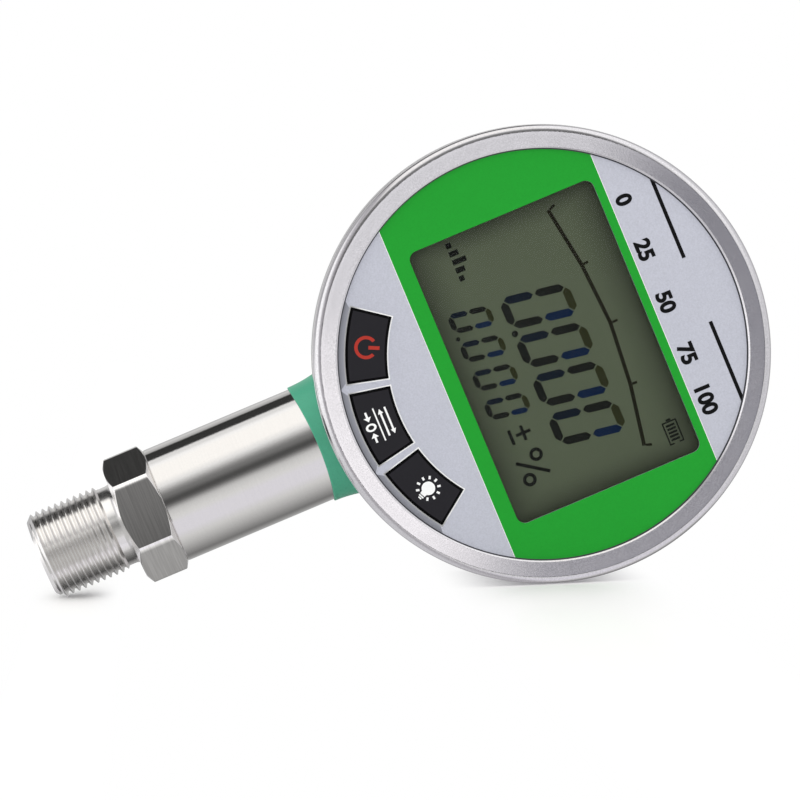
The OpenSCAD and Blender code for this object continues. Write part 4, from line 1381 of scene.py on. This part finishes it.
def light_studio(scene):
    """An even white studio with dark and light walls that only gloss shows."""
    world = scene.world or bpy.data.worlds.new("studio")
    scene.world = world
    world.use_nodes = True
    room = Recipe(world.node_tree)
    east, north, rise = room.parts(room.node("ShaderNodeTexCoord"))
    turn = room.math("ARCTAN2", east, -1 * north) / (2 * math.pi) + 0.5
    cream = (1.0, 0.985, 0.96)
    lilac = (0.70, 0.69, 0.74)
    walls = room.ramp(turn, [((bearing + 180) / 360, light) for bearing, light in (
        (-180, 0.42), (-166, 0.45), (-154, 0.58), (-143, 0.44), (-138, 0.4), (-134, 0.03), (-110, 0.035),
        (-106.5, 0.76), (-100, 0.73), (-92, 0.95), (-84, cream), (-54, cream), (-42, 0.79), (-38, 0.64),
        (-30, 0.325), (-26, 0.22), (-18, 0.148), (-10.5, 0.075), (-6, 0.08), (1, 0.21), (6, 0.42),
        (12.5, 0.587), (24, 0.68), (34, lilac), (56, lilac), (72, 0.62), (87, 0.486), (99, 0.38),
        (112, 0.276), (129, 0.17), (150, 0.3), (180, 0.42),
    )])
    # Below, a dim band and then the pale table; above, a pale ceiling; both dimmer behind the gauge
    right = room.step(east, -0.2, 0.3)
    below = room.mix(right, (1.05, 1.05, 1.06), (0.6, 0.6, 0.62))
    below = room.mix(room.step(-1 * rise, 0.38, 0.7), (0.42, 0.41, 0.43), below)
    beside = room.step(north, 0.1, 0.4) * room.step(-1 * east, 0.15, 0.4)
    hidden = room.math("MAXIMUM", beside, room.step(north, 0.7, 0.95))
    below = room.mix(hidden, below, (0.38, 0.38, 0.39))
    above = room.mix(right, (0.95, 0.95, 0.96), (0.62, 0.62, 0.64))
    above = room.mix(room.step(rise, 0.72, 0.92), above, (0.66, 0.66, 0.68))
    above = room.mix(room.step(north, 0.1, 0.4), above, (0.44, 0.44, 0.45))
    gloss = room.mix(room.step(-1 * rise, 0.2, 0.34), walls, below)
    gloss = room.mix(room.step(rise, 0.34, 0.5), gloss, above)
    # The wall behind the camera, which the bezel's face shows: light up to a slanted edge
    aside = east - 0.067
    over = rise - 0.078
    away = room.math("SQRT", aside * aside + over * over)
    behind = (1 - room.step(away, 0.17, 0.22)) * room.step(-1 * north, 0.0, 0.5)
    wall = room.mix(room.step(east, -0.025, 0.01), (0.88, 0.88, 0.91), (1.16, 1.14, 1.16))
    shadow = room.mix(room.step(east, 0.0, 0.2), (0.24, 0.24, 0.275), (0.25, 0.25, 0.285))
    edge = room.step(0.669 * east + 0.743 * rise, 0.08, 0.15)
    gloss = room.mix(behind, gloss, room.mix(edge, wall, shadow))
    gain = {"operation": "SCALE"}
    gloss = room.node("ShaderNodeVectorMath", gain, {0: gloss, "Scale": ROOM_GAIN})
    slope = -0.6 * east - 0.5 * north - 0.3 * rise
    even = room.mix(room.step(slope, -1.0, 1.0), (0.78, 0.79, 0.82), (1.24, 1.23, 1.2))
    first = room.mix(room.seen_by("Glossy"), even, gloss)
    final = room.mix(room.seen_by("Camera"), first, (1.0, 1.0, 1.0))
    back = room.node("ShaderNodeBackground", {}, {"Color": final, "Strength": 1.0})
    room.node("ShaderNodeOutputWorld", {}, {"Surface": back})


class GAUGE_OT_stem(bpy.types.Operator):
    """Builds the turned connection, the stem tube and the boot"""

    bl_idname = "gauge.stem"
    bl_label = "Stem and boot"

    def execute(self, context):
        build_connection(context.scene.gauge_stem)
        build_tube(context.scene.gauge_stem)
        build_boot(context.scene.gauge_stem, context.scene.gauge_case)
        return {"FINISHED"}


class GAUGE_OT_bezel(bpy.types.Operator):
    """Builds the bezel ring"""

    bl_idname = "gauge.bezel"
    bl_label = "Bezel"

    def execute(self, context):
        build_bezel(context.scene.gauge_case)
        return {"FINISHED"}


class GAUGE_OT_dial(bpy.types.Operator):
    """Builds the printed overlay of the dial"""

    bl_idname = "gauge.dial"
    bl_label = "Dial"

    def execute(self, context):
        build_dial(context.scene.gauge_dial, context.scene.gauge_keys)
        return {"FINISHED"}


class GAUGE_OT_display(bpy.types.Operator):
    """Builds the figures of the display"""

    bl_idname = "gauge.display"
    bl_label = "Display"

    def execute(self, context):
        build_display(context.scene.gauge_display)
        return {"FINISHED"}


class GAUGE_OT_keys(bpy.types.Operator):
    """Builds the three push keys and their marks"""

    bl_idname = "gauge.keys"
    bl_label = "Keys"

    def execute(self, context):
        build_keys(context.scene.gauge_keys)
        return {"FINISHED"}


class GAUGE_OT_frame(bpy.types.Operator):
    """Gives the rest of the frame its finishes"""

    bl_idname = "gauge.frame"
    bl_label = "Case and inside"

    def execute(self, context):
        dress_frame()
        return {"FINISHED"}


class GAUGE_OT_stage(bpy.types.Operator):
    """Sets up the camera, the floor and the light"""

    bl_idname = "gauge.stage"
    bl_label = "Stage"

    def execute(self, context):
        build_stage(context.scene.gauge_stage)
        return {"FINISHED"}


class GAUGE_PT_sidebar(bpy.types.Panel):
    """Lists the gauge's pieces"""

    bl_idname = "GAUGE_PT_sidebar"
    bl_label = "Pressure gauge"
    bl_space_type = "VIEW_3D"
    bl_region_type = "UI"
    bl_category = "Gauge"

    def draw(self, context):
        for operator in OPERATORS:
            self.layout.operator(operator.bl_idname)
        for name in SETTINGS:
            group = getattr(context.scene, name)
            column = self.layout.column()
            for key in group.__annotations__:
                column.prop(group, key)


OPERATORS = (
    GAUGE_OT_stem, GAUGE_OT_bezel, GAUGE_OT_dial, GAUGE_OT_display, GAUGE_OT_keys,
    GAUGE_OT_frame, GAUGE_OT_stage,
)
SETTINGS = {
    "gauge_stem": StemSizes,
    "gauge_case": CaseSizes,
    "gauge_dial": DialSizes,
    "gauge_keys": KeySizes,
    "gauge_display": DisplaySizes,
    "gauge_colours": FinishColours,
    "gauge_stage": StageSettings,
}


def register():
    for group in SETTINGS.values():
        bpy.utils.register_class(group)
    for operator in OPERATORS:
        bpy.utils.register_class(operator)
    bpy.utils.register_class(GAUGE_PT_sidebar)
    for name, group in SETTINGS.items():
        setattr(bpy.types.Scene, name, bpy.props.PointerProperty(type=group))


def unregister():
    for name in SETTINGS:
        delattr(bpy.types.Scene, name)
    bpy.utils.unregister_class(GAUGE_PT_sidebar)
    for operator in reversed(OPERATORS):
        bpy.utils.unregister_class(operator)
    for group in reversed(list(SETTINGS.values())):
        bpy.utils.unregister_class(group)


def main():
    register()
    bpy.ops.gauge.frame()
    bpy.ops.gauge.stem()
    bpy.ops.gauge.bezel()
    bpy.ops.gauge.dial()
    bpy.ops.gauge.display()
    bpy.ops.gauge.keys()
    bpy.ops.gauge.stage()


if __name__ == "__main__":
    main()
